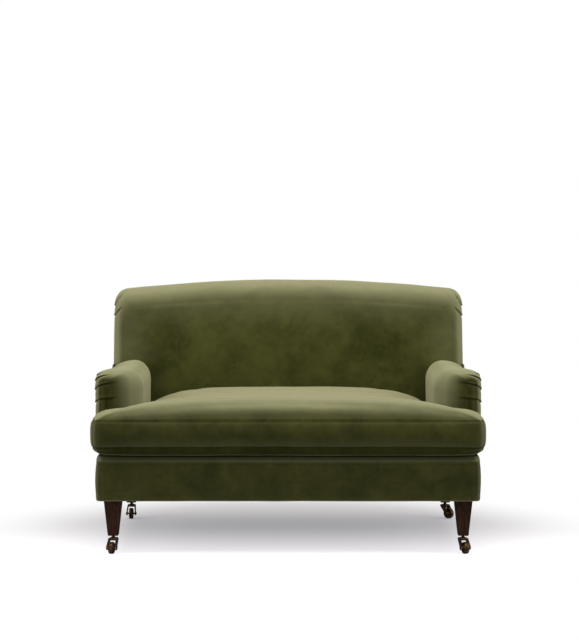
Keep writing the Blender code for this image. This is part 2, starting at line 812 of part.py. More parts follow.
def beside_arm(x, y):
    """Widens the cushion into the room that the rounded front of an arm leaves in the corner of the T."""
    inner, outer = cushion_inner_half_width, cushion_half_width
    rounding_rear = arm_front + arm_front_inner_depth
    fillet = arm_front_inner_round - cushion_corner_room
    if y > cushion_wing_rear:
        reach_share = min(1, max(0, rounding_rear - y) / arm_front_inner_depth)
        spread = fillet * (1 - math.sqrt(1 - reach_share**2))
    else:
        bar_share = (y - cushion_front) / (cushion_wing_rear - cushion_front)
        spread = fillet * bar_share**2
    if abs(x) <= inner:
        return x + math.copysign(spread * (abs(x) / inner) ** 3, x)
    wing_share = (abs(x) - inner) / (outer - inner)
    return math.copysign(inner + spread + (outer - inner - spread) * wing_share, x)


def place_on_cushion(x, y, level, wall):
    """Where a grid point of the cushion lies. level is top, middle or bottom."""
    swell = pillow_height(x, y, cushion_wing_crown, cushion_crown, 4)
    sag = cushion_bottom_seam - cushion_bottom
    dip = min(sag, pillow_height(x, y, sag, sag, 5))
    x = beside_arm(x, y)
    heights = {
        "top": cushion_top_seam - wall + swell,
        "middle": (cushion_top_seam + cushion_bottom_seam) / 2,
        "bottom": cushion_bottom_seam + wall - dip,
    }
    sign = math.copysign(1, x)
    for corner_x, corner_y in (
        (sign * cushion_half_width, cushion_front),
        (sign * cushion_half_width, cushion_wing_rear),
        (sign * cushion_inner_half_width, cushion_rear),
    ):
        if abs(x) > cushion_inner_half_width or abs(corner_x) < cushion_half_width:
            x, y = round_corner(x, y, corner_x, corner_y)
    middle_y = (cushion_front + cushion_rear) / 2
    bow = 1 - (x / cushion_half_width) ** 2
    reach = (y - middle_y) / (cushion_rear - middle_y)
    y -= cushion_draw_in * bow * reach * abs(reach)
    drawn_x = min(1, abs(x) / cushion_inner_half_width)
    bar_depth = cushion_wing_rear - cushion_front
    drawn_y = 1 if y > cushion_wing_rear else 1 - 2 * (cushion_wing_rear - y) / bar_depth
    return (x - math.copysign(wall * drawn_x, x), y - wall * drawn_y, heights[level])


def cushion_block(wall, columns, wings, wing_rows, main_rows, bulge):
    """A closed block on the cushion's T outline: swelling top, boxed sides and flattened underside."""
    inner, outer = cushion_inner_half_width, cushion_half_width
    right = [inner * share for share in columns] + [inner + (outer - inner) * share for share in wings]
    xs = [-x for x in reversed(right)] + [0] + right
    depth = cushion_wing_rear - cushion_front
    ys = [cushion_front] + [cushion_front + depth * share for share in wing_rows]
    ys += [cushion_wing_rear + (cushion_rear - cushion_wing_rear) * share for share in main_rows]
    cells = [
        (i, j)
        for i in range(len(xs) - 1)
        for j in range(len(ys) - 1)
        if j < len(wing_rows) or abs(xs[i] + xs[i + 1]) < 2 * inner
    ]
    bm = bmesh.new()
    verts = {}

    def vert(i, j, level):
        if (i, j, level) not in verts:
            verts[i, j, level] = bm.verts.new(place_on_cushion(xs[i], ys[j], level, wall))
        return verts[i, j, level]

    ends = {}
    for i, j in cells:
        corners = [(i, j), (i + 1, j), (i + 1, j + 1), (i, j + 1)]
        bm.faces.new([vert(*corner, "top") for corner in corners])
        bm.faces.new([vert(*corner, "bottom") for corner in reversed(corners)])
        for edge in zip(corners, corners[1:] + corners[:1]):
            ends[edge] = edge[::-1]
    for start, end in [edge for edge, back in ends.items() if back not in ends]:
        for upper, lower in (("top", "middle"), ("middle", "bottom")):
            bm.faces.new([vert(*start, upper), vert(*start, lower), vert(*end, lower), vert(*end, upper)])
    bmesh.ops.recalc_face_normals(bm, faces=bm.faces)
    bm.normal_update()
    for (_, _, level), point in verts.items():
        if level == "middle":
            point.co.xy += point.normal.xy * bulge
    return bm


def make_cushion():
    bm = cushion_block(
        0, main_column_shares, wing_column_shares, wing_row_shares, main_row_shares, cushion_boxing_bulge
    )
    cover = add_mesh("cushion_cover", bm, "velvet")
    thicken(cover, skin)
    middle = (cushion_top_seam + cushion_bottom_seam) / 2
    inside = cushion_rear - cushion_draw_in - skin - cushion_core_clearance
    low = (-zip_half_length, inside + gap, middle - zip_half_height)
    high = (zip_half_length, cushion_rear + cutter_overrun, middle + zip_half_height)
    boolean(cover, add_cutter("zip_slot", box(low, high)))

    wall = skin + cushion_core_clearance
    core = cushion_block(
        wall, core_main_column_shares, core_wing_column_shares, core_wing_row_shares, core_main_row_shares, 0
    )
    add_mesh("cushion_core", core, "foam")

    outside = cushion_rear - cushion_draw_in + cushion_boxing_bulge
    low = (-zip_half_length + gap, outside - zip_thickness, middle - zip_half_height + gap)
    high = (zip_half_length - gap, outside, middle + zip_half_height - gap)
    add_mesh("cushion_zip", box(low, high), "cambric")
    start = -slider_start
    front = outside + soft_gap
    low = (start, front, middle - slider_half_height)
    high = (start + slider_length, front + slider_thickness, middle + slider_half_height)
    slider = add_mesh("zip_slider", box(low, high), "brass")
    centre = start + slider_length / 2
    reach = (centre + pull_half_width, front + slider_thickness, middle)
    low = (centre - pull_half_width, front + slider_thickness - pull_thickness, middle - pull_length)
    boolean(slider, add_cutter("zip_pull", box(low, reach)), "UNION")


def make_leg(name, foot_x, foot_y, top_y):
    """A square tapered leg with a socket for the caster's stem."""
    top = rail_bottom - gap
    bm = box((-leg_top_width / 2, -leg_top_width / 2, leg_foot), (leg_top_width / 2, leg_top_width / 2, top))
    taper = leg_foot_width / leg_top_width
    for vert in bm.verts:
        at_foot = vert.co.z < (leg_foot + top) / 2
        vert.co.xy = vert.co.xy * taper if at_foot else vert.co.xy
        vert.co.x += foot_x
        vert.co.y += foot_y if at_foot else top_y
    leg = add_mesh(name, bm, "walnut")
    soften_edges(leg, leg_edge, 2)
    mouth = Vector((foot_x, foot_y, leg_foot - cutter_overrun))
    end = Vector((foot_x, foot_y, leg_foot + stem_length + gap))
    boolean(leg, add_cutter(f"{name}_socket", cylinder(stem_radius + gap, mouth, end)))


def fork_mesh():
    """A bent strap about the swivel axis: crown, shoulders and two arms that trail to the axle."""
    rows = []
    for x, z, centre, half_depth in (
        (fork_end_half_width, fork_end_height, -trail, fork_end_half_depth),
        (fork_end_half_width, wheel_radius, -trail, fork_axle_half_depth),
        (fork_crown_half_width, fork_crown - fork_shoulder_drop, 0, fork_crown_half_depth),
        (fork_crown_half_width - fork_shoulder_drop, fork_crown, 0, fork_crown_half_depth),
    ):
        rows.append([(x, centre - half_depth, z), (x, centre + half_depth, z)])
    other = [[(-x, y, z) for x, y, z in row] for row in reversed(rows)]
    bm = bmesh.new()
    loft(bm, rows + other)
    return bm


def make_caster(name, x, y, yaw):
    """One swivel caster: stem fixed in the leg, fork on its kingpin, wheel on its axle."""
    swivel = bpy.data.objects.new(f"{name}_swivel", None)
    swivel.location = (x, y, 0)
    swivel.rotation_euler = (0, 0, math.radians(yaw))
    sofa.objects.link(swivel)

    crown_inside = fork_crown - fork_thickness
    head_top = crown_inside - gap
    profile = [
        (0, leg_foot + stem_length), (stem_radius, leg_foot + stem_length), (stem_radius, leg_foot - gap),
        (neck_radius, leg_foot - gap), (neck_radius, fork_crown + gap), (kingpin_radius, fork_crown + gap),
        (kingpin_radius, head_top), (kingpin_head_radius, head_top),
        (kingpin_head_radius, head_top - kingpin_head_height), (0, head_top - kingpin_head_height),
    ]
    stem = turned(f"{name}_caster_stem", profile, "brass", 12)
    stem.location = (x, y, 0)

    fork = add_mesh(f"{name}_caster_fork", fork_mesh(), "brass")
    fork.parent = swivel
    thicken(fork, fork_thickness)
    kingpin = cylinder(kingpin_radius + kingpin_clearance, (0, 0, wheel_radius), (0, 0, leg_foot))
    reach = fork_end_half_width + cutter_overrun
    bore = cylinder(axle_radius + axle_clearance, (-reach, -trail, wheel_radius), (reach, -trail, wheel_radius))
    for label, tool in (("kingpin_hole", kingpin), ("axle_hole", bore)):
        cutter = add_cutter(f"{name}_{label}", tool)
        cutter.parent = swivel
        boolean(fork, cutter)

    half_span = fork_end_half_width + gap
    head = half_span + axle_head_height
    profile = [
        (0, head), (axle_head_radius, head), (axle_head_radius, half_span), (axle_radius, half_span),
        (axle_radius, -half_span), (axle_head_radius, -half_span), (axle_head_radius, -head), (0, -head),
    ]
    axle = turned(f"{name}_caster_axle", profile, "brass", 12)
    bore_radius = axle_radius + axle_clearance
    wheel_steps = 20
    tread = wheel_radius / math.cos(math.pi / wheel_steps)
    profile = [
        (bore_radius, wheel_hub_half_width), (wheel_hub_radius, wheel_hub_half_width),
        (wheel_hub_radius, wheel_web_half_width), (wheel_rim_radius, wheel_web_half_width),
        (wheel_rim_radius, wheel_half_width), (tread - wheel_edge, wheel_half_width),
        (tread, wheel_half_width - wheel_edge),
    ]
    profile += [(radius, -height) for radius, height in reversed(profile)]
    wheel = turned(f"{name}_caster_wheel", profile, "brass", wheel_steps)
    for obj in (axle, wheel):
        obj.parent = swivel
        obj.location = (0, -trail, wheel_radius)
        obj.rotation_euler = (0, math.pi / 2, 0)


def make_legs_and_casters():
    for place, foot_y, top_y in (("front", front_leg_y, front_leg_y), ("rear", rear_leg_y, rear_leg_top_y)):
        for side, sign in (("left", -1), ("right", 1)):
            name = f"{place}_{side}"
            make_leg(f"{name}_leg", sign * leg_half_span, foot_y, top_y)
            make_caster(name, sign * leg_half_span, foot_y, caster_yaw[name])


clear_scene()
sofa = new_collection("velvet_sofa")
cutters = new_collection("cutters")
make_base_frame()
make_back_frame()
make_arm_frames()
make_springs()
make_front_border()
make_seat_pad()
make_dust_cover()
for side_name, side_sign in (("left", -1), ("right", 1)):
    make_arm_cover(side_name, side_sign)
    make_arm_pad(side_name, side_sign)
    make_outside_arm(side_name, side_sign)
make_back_cover()
make_back_pad()
make_outside_back()
make_cushion()
make_legs_and_casters()
bpy.context.view_layer.update()
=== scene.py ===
# %% [markdown]
# # A velvet sofa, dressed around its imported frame
#
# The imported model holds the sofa's hard pieces and plain solids for its soft ones. This script
# keeps the wood and the metal, gives them their finishes, and puts real upholstery where the plain
# solids stand: a crowned cushion, pleated arms, a rolled back. Every length is in metres. X runs
# along the sofa's width, the front faces -Y, and Z points up.

import json
import math

import bmesh
import bpy
from mathutils import Matrix, Vector, noise


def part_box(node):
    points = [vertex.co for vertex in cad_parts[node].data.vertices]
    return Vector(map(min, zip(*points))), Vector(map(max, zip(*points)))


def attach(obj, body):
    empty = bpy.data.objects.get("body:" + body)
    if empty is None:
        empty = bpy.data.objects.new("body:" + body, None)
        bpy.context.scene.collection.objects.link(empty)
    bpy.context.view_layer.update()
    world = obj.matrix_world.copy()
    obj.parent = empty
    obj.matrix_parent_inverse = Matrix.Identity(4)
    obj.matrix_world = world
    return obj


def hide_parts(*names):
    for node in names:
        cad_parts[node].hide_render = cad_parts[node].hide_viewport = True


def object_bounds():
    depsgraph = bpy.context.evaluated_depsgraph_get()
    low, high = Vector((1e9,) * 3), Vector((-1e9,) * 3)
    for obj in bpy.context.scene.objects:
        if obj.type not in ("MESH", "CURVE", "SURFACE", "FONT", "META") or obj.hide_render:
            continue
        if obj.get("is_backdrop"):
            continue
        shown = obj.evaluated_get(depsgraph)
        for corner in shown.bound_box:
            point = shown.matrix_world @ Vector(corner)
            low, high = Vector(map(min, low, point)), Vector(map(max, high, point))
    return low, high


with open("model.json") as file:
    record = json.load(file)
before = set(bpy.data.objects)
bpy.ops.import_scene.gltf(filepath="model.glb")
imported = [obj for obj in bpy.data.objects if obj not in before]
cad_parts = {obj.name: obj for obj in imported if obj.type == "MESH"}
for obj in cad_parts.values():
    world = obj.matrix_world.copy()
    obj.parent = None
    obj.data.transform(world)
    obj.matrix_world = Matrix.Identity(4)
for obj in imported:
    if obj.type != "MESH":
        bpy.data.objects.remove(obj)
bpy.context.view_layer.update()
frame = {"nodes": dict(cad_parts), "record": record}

# %% [markdown]
# ## The camera
#
# The sofa was photographed with a long lens from about seven metres, a little above its crest. Its
# upright lines stay upright in the picture, so the camera stands level and only its lens is
# shifted down. The seat then shows as a thin, bright band.

# %% Camera
scene = bpy.context.scene
camera_place = (0.0045, -6.945, 1.14)
lens_length, lens_shift, sensor_width = 108.7, -0.1617, 36
camera_data = bpy.data.cameras.new("camera")
camera_data.lens = lens_length
camera_data.sensor_width = sensor_width
camera_data.shift_y = lens_shift
camera = bpy.data.objects.new("camera", camera_data)
camera.location = camera_place
camera.rotation_euler = (math.pi / 2, 0, 0)
scene.collection.objects.link(camera)
bpy.context.scene.camera = camera
print("camera at", tuple(round(c, 3) for c in camera.location))

# %% [markdown]
# ## Building from nodes
#
# The room's light, the floor and every finish come from nodes. Setting up each node by hand takes
# many lines, so a few helpers do it: one sets or wires a node's inputs by name, one adds a node,
# and the others make the kinds that are used again and again.


# %% Node helpers
def set_inputs(tree, node, inputs):
    """Sets or wires a node's inputs, each by its name or its number."""
    for key, value in inputs.items():
        if isinstance(value, bpy.types.NodeSocket):
            tree.links.new(value, node.inputs[key])
        else:
            node.inputs[key].default_value = value


def add_node(tree, kind, inputs=None, **settings):
    """Adds a node, sets its properties, and then its inputs."""
    made = tree.nodes.new(kind)
    for key, value in settings.items():
        setattr(made, key, value)
    set_inputs(tree, made, inputs or {})
    return made


def new_material(name, constants):
    """A material with one Principled shader, its constants set on the shader's own sockets."""
    material = bpy.data.materials.new(name)
    material.use_nodes = True
    tree = material.node_tree
    shader = tree.nodes["Principled BSDF"]
    set_inputs(tree, shader, constants)
    return material, tree, shader


def object_coordinates(tree):
    return add_node(tree, "ShaderNodeTexCoord").outputs["Object"]


def math_of(tree, operation, first, second):
    return add_node(tree, "ShaderNodeMath", {0: first, 1: second}, operation=operation).outputs[0]


def remap(tree, value, low, high, to_low=0.0, to_high=1.0, interpolation="LINEAR"):
    inputs = {"Value": value, "From Min": low, "From Max": high}
    inputs.update({"To Min": to_low, "To Max": to_high})
    settings = {"clamp": True, "interpolation_type": interpolation}
    return add_node(tree, "ShaderNodeMapRange", inputs, **settings).outputs["Result"]


def mix_shaders(tree, share, first, second):
    inputs = {"Fac": share, 1: first.outputs[0], 2: second.outputs[0]}
    return add_node(tree, "ShaderNodeMixShader", inputs)


# %% [markdown]
# ## Light and floor
#
# The studio has one broad light overhead and a white room. Light from above makes the velvet's top
# faces pale and leaves its fronts deep, and the white floor throws a little of it back up. The
# world shows white to the camera, and lights the scene more weakly than it looks. The floor takes
# the sofa's shadow, and beyond it fades into the same white. From below it is clear, so that the
# sofa's underside can be looked at.

# %% Light
scene.view_settings.view_transform = "Standard"
room_strength = 0.42
overhead_power, side_power = 166, 38
world = bpy.data.worlds.new("white room")
scene.world = world
world.use_nodes = True
room = world.node_tree
room.nodes.clear()
room_rays = add_node(room, "ShaderNodeLightPath")
room_colour = {"Color": (1.0, 0.99, 0.97, 1), "Strength": room_strength}
room_light = add_node(room, "ShaderNodeBackground", room_colour)
room_seen = add_node(room, "ShaderNodeBackground", {"Color": (1, 1, 1, 1), "Strength": 1.0})
room_mix = mix_shaders(room, room_rays.outputs["Is Camera Ray"], room_light, room_seen)
add_node(room, "ShaderNodeOutputWorld", {"Surface": room_mix.outputs[0]})


def add_area_light(name, place, aim, size, power, colour=(1, 1, 1)):
    """A rectangular lamp at a place, turned to its aim."""
    data = bpy.data.lights.new(name, "AREA")
    data.shape = "RECTANGLE"
    data.size, data.size_y = size
    data.energy = power
    data.color = colour
    lamp = bpy.data.objects.new(name, data)
    lamp.location = place
    lamp.rotation_euler = (Vector(aim) - Vector(place)).to_track_quat("-Z", "Y").to_euler()
    scene.collection.objects.link(lamp)


warm_white = (1.0, 0.985, 0.96)
overhead_place, overhead_size = (0, -0.55, 3.6), (4.6, 2.8)
side_aim, side_size = (0, 0, 0.45), (1.6, 2.2)
add_area_light(
    "overhead_softbox", overhead_place, (0, 0, 0), overhead_size, overhead_power, warm_white
)
add_area_light("left_softbox", (-3.6, -1.0, 1.7), side_aim, side_size, side_power)
add_area_light("right_softbox", (3.6, -1.0, 1.7), side_aim, side_size, side_power)

# %% Floor
floor_half_size = 30
floor_reach = (1.45, 1.3)
fade_start, fade_end = 0.52, 0.85
rear_glow, front_glow = 0.33, 0.85
unseen_white = 0.35
floor_mesh = bmesh.new()
bmesh.ops.create_grid(floor_mesh, x_segments=1, y_segments=1, size=floor_half_size)
floor_data = bpy.data.meshes.new("floor")
floor_mesh.to_mesh(floor_data)
floor_mesh.free()
floor = bpy.data.objects.new("floor", floor_data)
scene.collection.objects.link(floor)
floor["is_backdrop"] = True
floor_look = {"Base Color": (0.42, 0.415, 0.42, 1), "Emission Color": (0.985, 0.965, 1, 1)}
floor_look.update({"Roughness": 1.0, "Specular IOR Level": 0.0})
floor_material, floor_tree, floor_shader = new_material("white floor", floor_look)
floor_place = object_coordinates(floor_tree)
camera_ray = add_node(floor_tree, "ShaderNodeLightPath").outputs["Is Camera Ray"]
floor_y = add_node(floor_tree, "ShaderNodeSeparateXYZ", {0: floor_place}).outputs["Y"]
glow = remap(floor_tree, floor_y, 0.25, -0.6, rear_glow, front_glow, "SMOOTHSTEP")
seen_glow = math_of(floor_tree, "MULTIPLY", glow, camera_ray)
set_inputs(floor_tree, floor_shader, {"Emission Strength": seen_glow})
white_strength = remap(floor_tree, camera_ray, 0.0, 1.0, unseen_white, 1.0)
floor_white = add_node(floor_tree, "ShaderNodeEmission", {"Strength": white_strength})
oval_scale = (1 / floor_reach[0], 1 / floor_reach[1], 1)
oval = add_node(floor_tree, "ShaderNodeMapping", {"Vector": floor_place, "Scale": oval_scale})
from_middle = add_node(
    floor_tree, "ShaderNodeVectorMath", {0: oval.outputs["Vector"]}, operation="LENGTH"
).outputs["Value"]
fade = remap(floor_tree, from_middle, fade_start, fade_end, interpolation="SMOOTHSTEP")
floor_mix = mix_shaders(floor_tree, fade, floor_shader, floor_white)
underside = add_node(floor_tree, "ShaderNodeNewGeometry").outputs["Backfacing"]
floor_clear = add_node(floor_tree, "ShaderNodeBsdfTransparent")
from_below = mix_shaders(floor_tree, underside, floor_mix, floor_clear)
set_inputs(floor_tree, floor_tree.nodes["Material Output"], {"Surface": from_below.outputs[0]})
floor_data.materials.append(floor_material)
print("floor:", 2 * floor_half_size, "m square,", len(floor_tree.nodes), "nodes")

# %% [markdown]
# ## Effects in groups
#
# Several finishes share an effect, such as the grain of wood or the tarnish of metal. Such an
# effect is a node group with named sockets, built once and placed in each material with its own
# values. A group puts out only colours and values, and each material feeds them to a Principled
# shader of its own.


# %% Group helpers
def new_group(name, inputs, outputs):
    """An empty node group. inputs are (name, socket kind, default), outputs (name, socket kind)."""
    group = bpy.data.node_groups.new(name, "ShaderNodeTree")
    for label, kind, default in inputs:
        socket = group.interface.new_socket(label, in_out="INPUT", socket_type=kind)
        if default is not None:
            socket.default_value = default
    for label, kind in outputs:
        group.interface.new_socket(label, in_out="OUTPUT", socket_type=kind)
    return group, group.nodes.new("NodeGroupInput").outputs, group.nodes.new("NodeGroupOutput")


def noise_at(tree, vector, scale, detail=2.0, roughness=0.5, distortion=0.0):
    inputs = {"Vector": vector, "Scale": scale, "Detail": detail, "Roughness": roughness}
    return add_node(tree, "ShaderNodeTexNoise", {**inputs, "Distortion": distortion}).outputs["Fac"]


def blend_values(tree, first, second, share):
    """A mean of two values, with the given share of the second."""
    kept = math_of(tree, "MULTIPLY", first, 1 - share)
    return math_of(tree, "ADD", kept, math_of(tree, "MULTIPLY", second, share))


def mix_colours(tree, share, first, second, blend="MIX"):
    inputs = {0: share, 6: first, 7: second}
    made = add_node(tree, "ShaderNodeMix", inputs, data_type="RGBA", blend_type=blend)
    return made.outputs[2]


def toned(tree, colour, red, green, blue):
    """Multiplies a colour's red, green and blue, each by a value."""
    factor = add_node(tree, "ShaderNodeCombineColor", {0: red, 1: green, 2: blue}).outputs[0]
    return mix_colours(tree, 1.0, colour, factor, "MULTIPLY")


def bump_from(tree, height, strength, distance, **under):
    """The normal of a bumped surface. A Normal given as well is the one that it starts from."""
    inputs = {"Height": height, "Strength": strength, "Distance": distance, **under}
    return add_node(tree, "ShaderNodeBump", inputs).outputs["Normal"]


def finish_from(tree, shader, group, strength, distance):
    """Feeds a group's colour and roughness to a shader, and its height as a bump."""
    normal = bump_from(tree, group.outputs["Height"], strength, distance)
    links = {"Base Color": group.outputs["Colour"], "Normal": normal}
    if "Roughness" in group.outputs:
        links["Roughness"] = group.outputs["Roughness"]
    set_inputs(tree, shader, links)


# %% [markdown]
# ## Velvet
#
# Velvet is a short, dense pile. Seen straight on it swallows light and looks deep. Seen along the
# surface the pile's tips catch the light and it turns pale. The shader's sheen does a part of
# that, and a painted sheen does the rest: the colour turns paler where the surface turns away from
# the eye. Hands and sitters push the pile about, so soft patches lie lighter or darker than their
# neighbours: two sizes of noise do that to the colour, and a smoother one gently tilts the surface.
# A very fine noise is the pile itself. Painted shade darkens the colour in tucks, gaps and
# recesses, and in the seams, where the pile is also pressed shut. Painted highlights pale some
# edges. Each piece says where in a point attribute, above zero for shade, below zero for light.

# %% Velvet pile group
pile_fineness = 1150.0
pile, pile_in, pile_out = new_group(
    "velvet pile",
    [
        ("Vector", "NodeSocketVector", None),
        ("Deep colour", "NodeSocketColor", (0.03, 0.03, 0.01, 1)),
        ("Pale colour", "NodeSocketColor", (0.08, 0.08, 0.03, 1)),
        ("Patch size", "NodeSocketFloat", 6.0),
    ],
    [
        ("Colour", "NodeSocketColor"), ("Roughness", "NodeSocketFloat"),
        ("Lie", "NodeSocketFloat"), ("Pile", "NodeSocketFloat"),
    ],
)
on_velvet, patch_size = pile_in["Vector"], pile_in["Patch size"]
broad = noise_at(pile, on_velvet, patch_size, 3.0, 0.55, 0.6)
finer = noise_at(pile, on_velvet, math_of(pile, "MULTIPLY", patch_size, 4.3), 4.0, 0.6, 0.9)
patches = blend_values(pile, broad, finer, 0.38)
patch_mask = remap(pile, patches, 0.36, 0.66)
lie_size = math_of(pile, "MULTIPLY", patch_size, 1.7)
smooth_lie = noise_at(pile, on_velvet, lie_size, 1.0, 0.4, 0.4)
tips = noise_at(pile, on_velvet, pile_fineness, 1.0, 0.5)
tip_tone = remap(pile, tips, 0.3, 0.7, 0.82, 1.15)
patch_colour = mix_colours(pile, patch_mask, pile_in["Deep colour"], pile_in["Pale colour"])
set_inputs(pile, pile_out, {
    "Colour": toned(pile, patch_colour, tip_tone, tip_tone, tip_tone),
    "Roughness": remap(pile, patches, 0.3, 0.7, 0.95, 0.8),
    "Lie": blend_values(pile, smooth_lie, patches, 0.20),
    "Pile": tips,
})
print("velvet pile:", len(pile.nodes), "nodes")

# %% Velvet material
olive_deep = (0.0240, 0.0262, 0.0030)
olive_pale = (0.0510, 0.0535, 0.0085)
# The two colours below are a painted sheen and a painted shade.
olive_painted_sheen = (0.182, 0.180, 0.095)
olive_painted_shade = tuple(0.12 * value for value in olive_deep)
olive_sheen = (0.80, 0.78, 0.50)
patch_scale = 6.5
lie_tilt = 0.35
velvet, tree, shader = new_material("olive velvet", {
    "Sheen Weight": 0.36, "Sheen Roughness": 0.35, "Sheen Tint": (*olive_sheen, 1),
    "Specular IOR Level": 0.12,
})
group = add_node(tree, "ShaderNodeGroup", {
    "Vector": object_coordinates(tree), "Deep colour": (*olive_deep, 1),
    "Pale colour": (*olive_pale, 1), "Patch size": patch_scale,
}, node_tree=pile)
soft = bump_from(tree, group.outputs["Lie"], lie_tilt, 0.012)
# Painted sheen: the colour turns pale where the surface turns away from the eye, and where the
# attribute is below zero.
turned = add_node(tree, "ShaderNodeLayerWeight", {"Blend": 0.5, "Normal": soft}).outputs["Facing"]
nap_and_painted_light = add_node(tree, "ShaderNodeAttribute", attribute_name="nap_and_painted_light").outputs["Fac"]
painted_sheen_share = math_of(tree, "SUBTRACT", remap(tree, turned, 0.015, 0.45), nap_and_painted_light)
painted_sheen_share = remap(tree, painted_sheen_share, 0.0, 1.0)
seen_colour = mix_colours(tree, painted_sheen_share, group.outputs["Colour"], (*olive_painted_sheen, 1))
# Painted shade: the colour turns dark where the attribute is above zero.
painted_shade_share = remap(tree, nap_and_painted_light, 0.0, 1.0, 0.0, 0.9)
set_inputs(tree, shader, {
    "Base Color": mix_colours(tree, painted_shade_share, seen_colour, (*olive_painted_shade, 1)),
    "Roughness": group.outputs["Roughness"],
    "Normal": bump_from(tree, group.outputs["Pile"], 0.35, 0.0006, Normal=soft),
})
print("velvet:", len(tree.nodes), "nodes")

# %% [markdown]
# ## Wood
#
# The legs are solid walnut with a dark stain, and their grain runs down them. The hidden frame is
# plain sawn beech. Both are one group: noise stretched along the grain makes the figure, a finer
# stretched noise makes the pores, and each material turns and stretches the pattern with its own
# Mapping node.

# %% Wood grain group
grain, grain_in, grain_out = new_group(
    "wood grain",
    [
        ("Vector", "NodeSocketVector", None),
        ("Dark wood", "NodeSocketColor", (0.02, 0.01, 0.005, 1)),
        ("Light wood", "NodeSocketColor", (0.06, 0.03, 0.015, 1)),
    ],
    [
        ("Colour", "NodeSocketColor"), ("Roughness", "NodeSocketFloat"),
        ("Height", "NodeSocketFloat"),
    ],
)
figure = noise_at(grain, grain_in["Vector"], 60.0, 3.0, 0.6, 1.4)
pores = noise_at(grain, grain_in["Vector"], 420.0, 2.0, 0.6)
figure_mask = remap(grain, figure, 0.35, 0.68)
pore_mask = remap(grain, pores, 0.30, 0.46)
wood_colour = mix_colours(grain, figure_mask, grain_in["Dark wood"], grain_in["Light wood"])
pore_tones = [remap(grain, pore_mask, 0, 1, darkest, 1) for darkest in (0.45, 0.42, 0.4)]
set_inputs(grain, grain_out, {
    "Colour": toned(grain, wood_colour, *pore_tones),
    "Roughness": remap(grain, figure, 0.3, 0.7, 0.56, 0.44),
    "Height": pore_mask,
})


def make_wood(name, dark, light, stretch):
    """Wood whose grain runs along the axis with the smallest stretch."""
    material, tree, shader = new_material(name, {"Specular IOR Level": 0.14})
    place = {"Vector": object_coordinates(tree), "Scale": stretch}
    mapping = add_node(tree, "ShaderNodeMapping", place)
    inputs = {"Dark wood": (*dark, 1), "Light wood": (*light, 1)}
    inputs["Vector"] = mapping.outputs["Vector"]
    group = add_node(tree, "ShaderNodeGroup", inputs, node_tree=grain)
    finish_from(tree, shader, group, 0.25, 0.0004)
    return material


walnut_dark, walnut_light = (0.0080, 0.0026, 0.0014), (0.066, 0.0245, 0.0110)
walnut = make_wood("dark walnut", walnut_dark, walnut_light, (2.8, 2.8, 0.09))
beech_dark, beech_light = (0.33, 0.19, 0.095), (0.46, 0.30, 0.165)
beech_along = {
    axis: make_wood(f"beech along {axis}", beech_dark, beech_light, stretch)
    for axis, stretch in (("x", (0.05, 1, 1)), ("y", (1, 0.05, 1)), ("z", (1, 1, 0.05)))
}
print("wood materials:", 1 + len(beech_along))

# %% [markdown]
# ## Metal
#
# The casters are cast and pressed brass with an antique finish: nearly black in the hollows,
# rubbed to a brown gold where hands and floors touch them. A noise picks the rubbed places, and
# the rubbed metal is smoother. The zip has the same brass, and the springs are plain steel from
# the same group.

# %% Aged metal group
aged, aged_in, aged_out = new_group(
    "aged metal",
    [
        ("Vector", "NodeSocketVector", None),
        ("Tarnish", "NodeSocketColor", (0.02, 0.015, 0.01, 1)),
        ("Metal", "NodeSocketColor", (0.3, 0.2, 0.1, 1)),
        ("Grain size", "NodeSocketFloat", 90.0),
    ],
    [
        ("Colour", "NodeSocketColor"), ("Roughness", "NodeSocketFloat"),
        ("Height", "NodeSocketFloat"),
    ],
)
wear_and_sheen = noise_at(aged, aged_in["Vector"], aged_in["Grain size"], 5.0, 0.62, 0.4)
rub_mask = remap(aged, wear_and_sheen, 0.36, 0.64)
set_inputs(aged, aged_out, {
    "Colour": mix_colours(aged, rub_mask, aged_in["Tarnish"], aged_in["Metal"]),
    "Roughness": remap(aged, wear_and_sheen, 0.3, 0.7, 0.55, 0.28),
    "Height": noise_at(aged, aged_in["Vector"], 1400.0, 2.0, 0.6),
})


def make_metal(name, tarnish, metal, grain_size):
    material, tree, shader = new_material(name, {"Metallic": 1.0})
    inputs = {"Vector": object_coordinates(tree), "Tarnish": (*tarnish, 1), "Metal": (*metal, 1)}
    inputs["Grain size"] = grain_size
    group = add_node(tree, "ShaderNodeGroup", inputs, node_tree=aged)
    finish_from(tree, shader, group, 0.12, 0.0002)
    return material


brass_dark, brass_rubbed = (0.016, 0.0105, 0.0065), (0.175, 0.103, 0.052)
antique_brass = make_metal("antique brass", brass_dark, brass_rubbed, 110.0)
spring_steel = make_metal("spring steel", (0.12, 0.12, 0.125), (0.34, 0.34, 0.35), 60.0)
print("metals:", antique_brass.name, "and", spring_steel.name)

# %% [markdown]
# ## Cloth that isn't velvet
#
# Under the seat is black cambric, a thin woven dust cover, and the zip's tape is a fine twill. Two
# crossed waves make the threads of both. The group gives the height of the weave, and a painted
# shade that lightens the thread on top and darkens it where it dips under.

# %% Woven cloth group
woven, woven_in, woven_out = new_group(
    "plain weave",
    [
        ("Vector", "NodeSocketVector", None),
        ("Thread colour", "NodeSocketColor", (0.02, 0.02, 0.02, 1)),
        ("Threads per metre", "NodeSocketFloat", 900.0),
    ],
    [("Colour", "NodeSocketColor"), ("Height", "NodeSocketFloat")],
)
thread_scale = {0: woven_in["Vector"], "Scale": woven_in["Threads per metre"]}
scaled = add_node(woven, "ShaderNodeVectorMath", thread_scale, operation="SCALE")
split = add_node(woven, "ShaderNodeSeparateXYZ", {0: scaled.outputs[0]})
warp, weft = (
    math_of(woven, "SINE", math_of(woven, "MULTIPLY", split.outputs[axis], math.pi), 0.0)
    for axis in ("X", "Y")
)
weave = math_of(woven, "MULTIPLY", warp, weft)
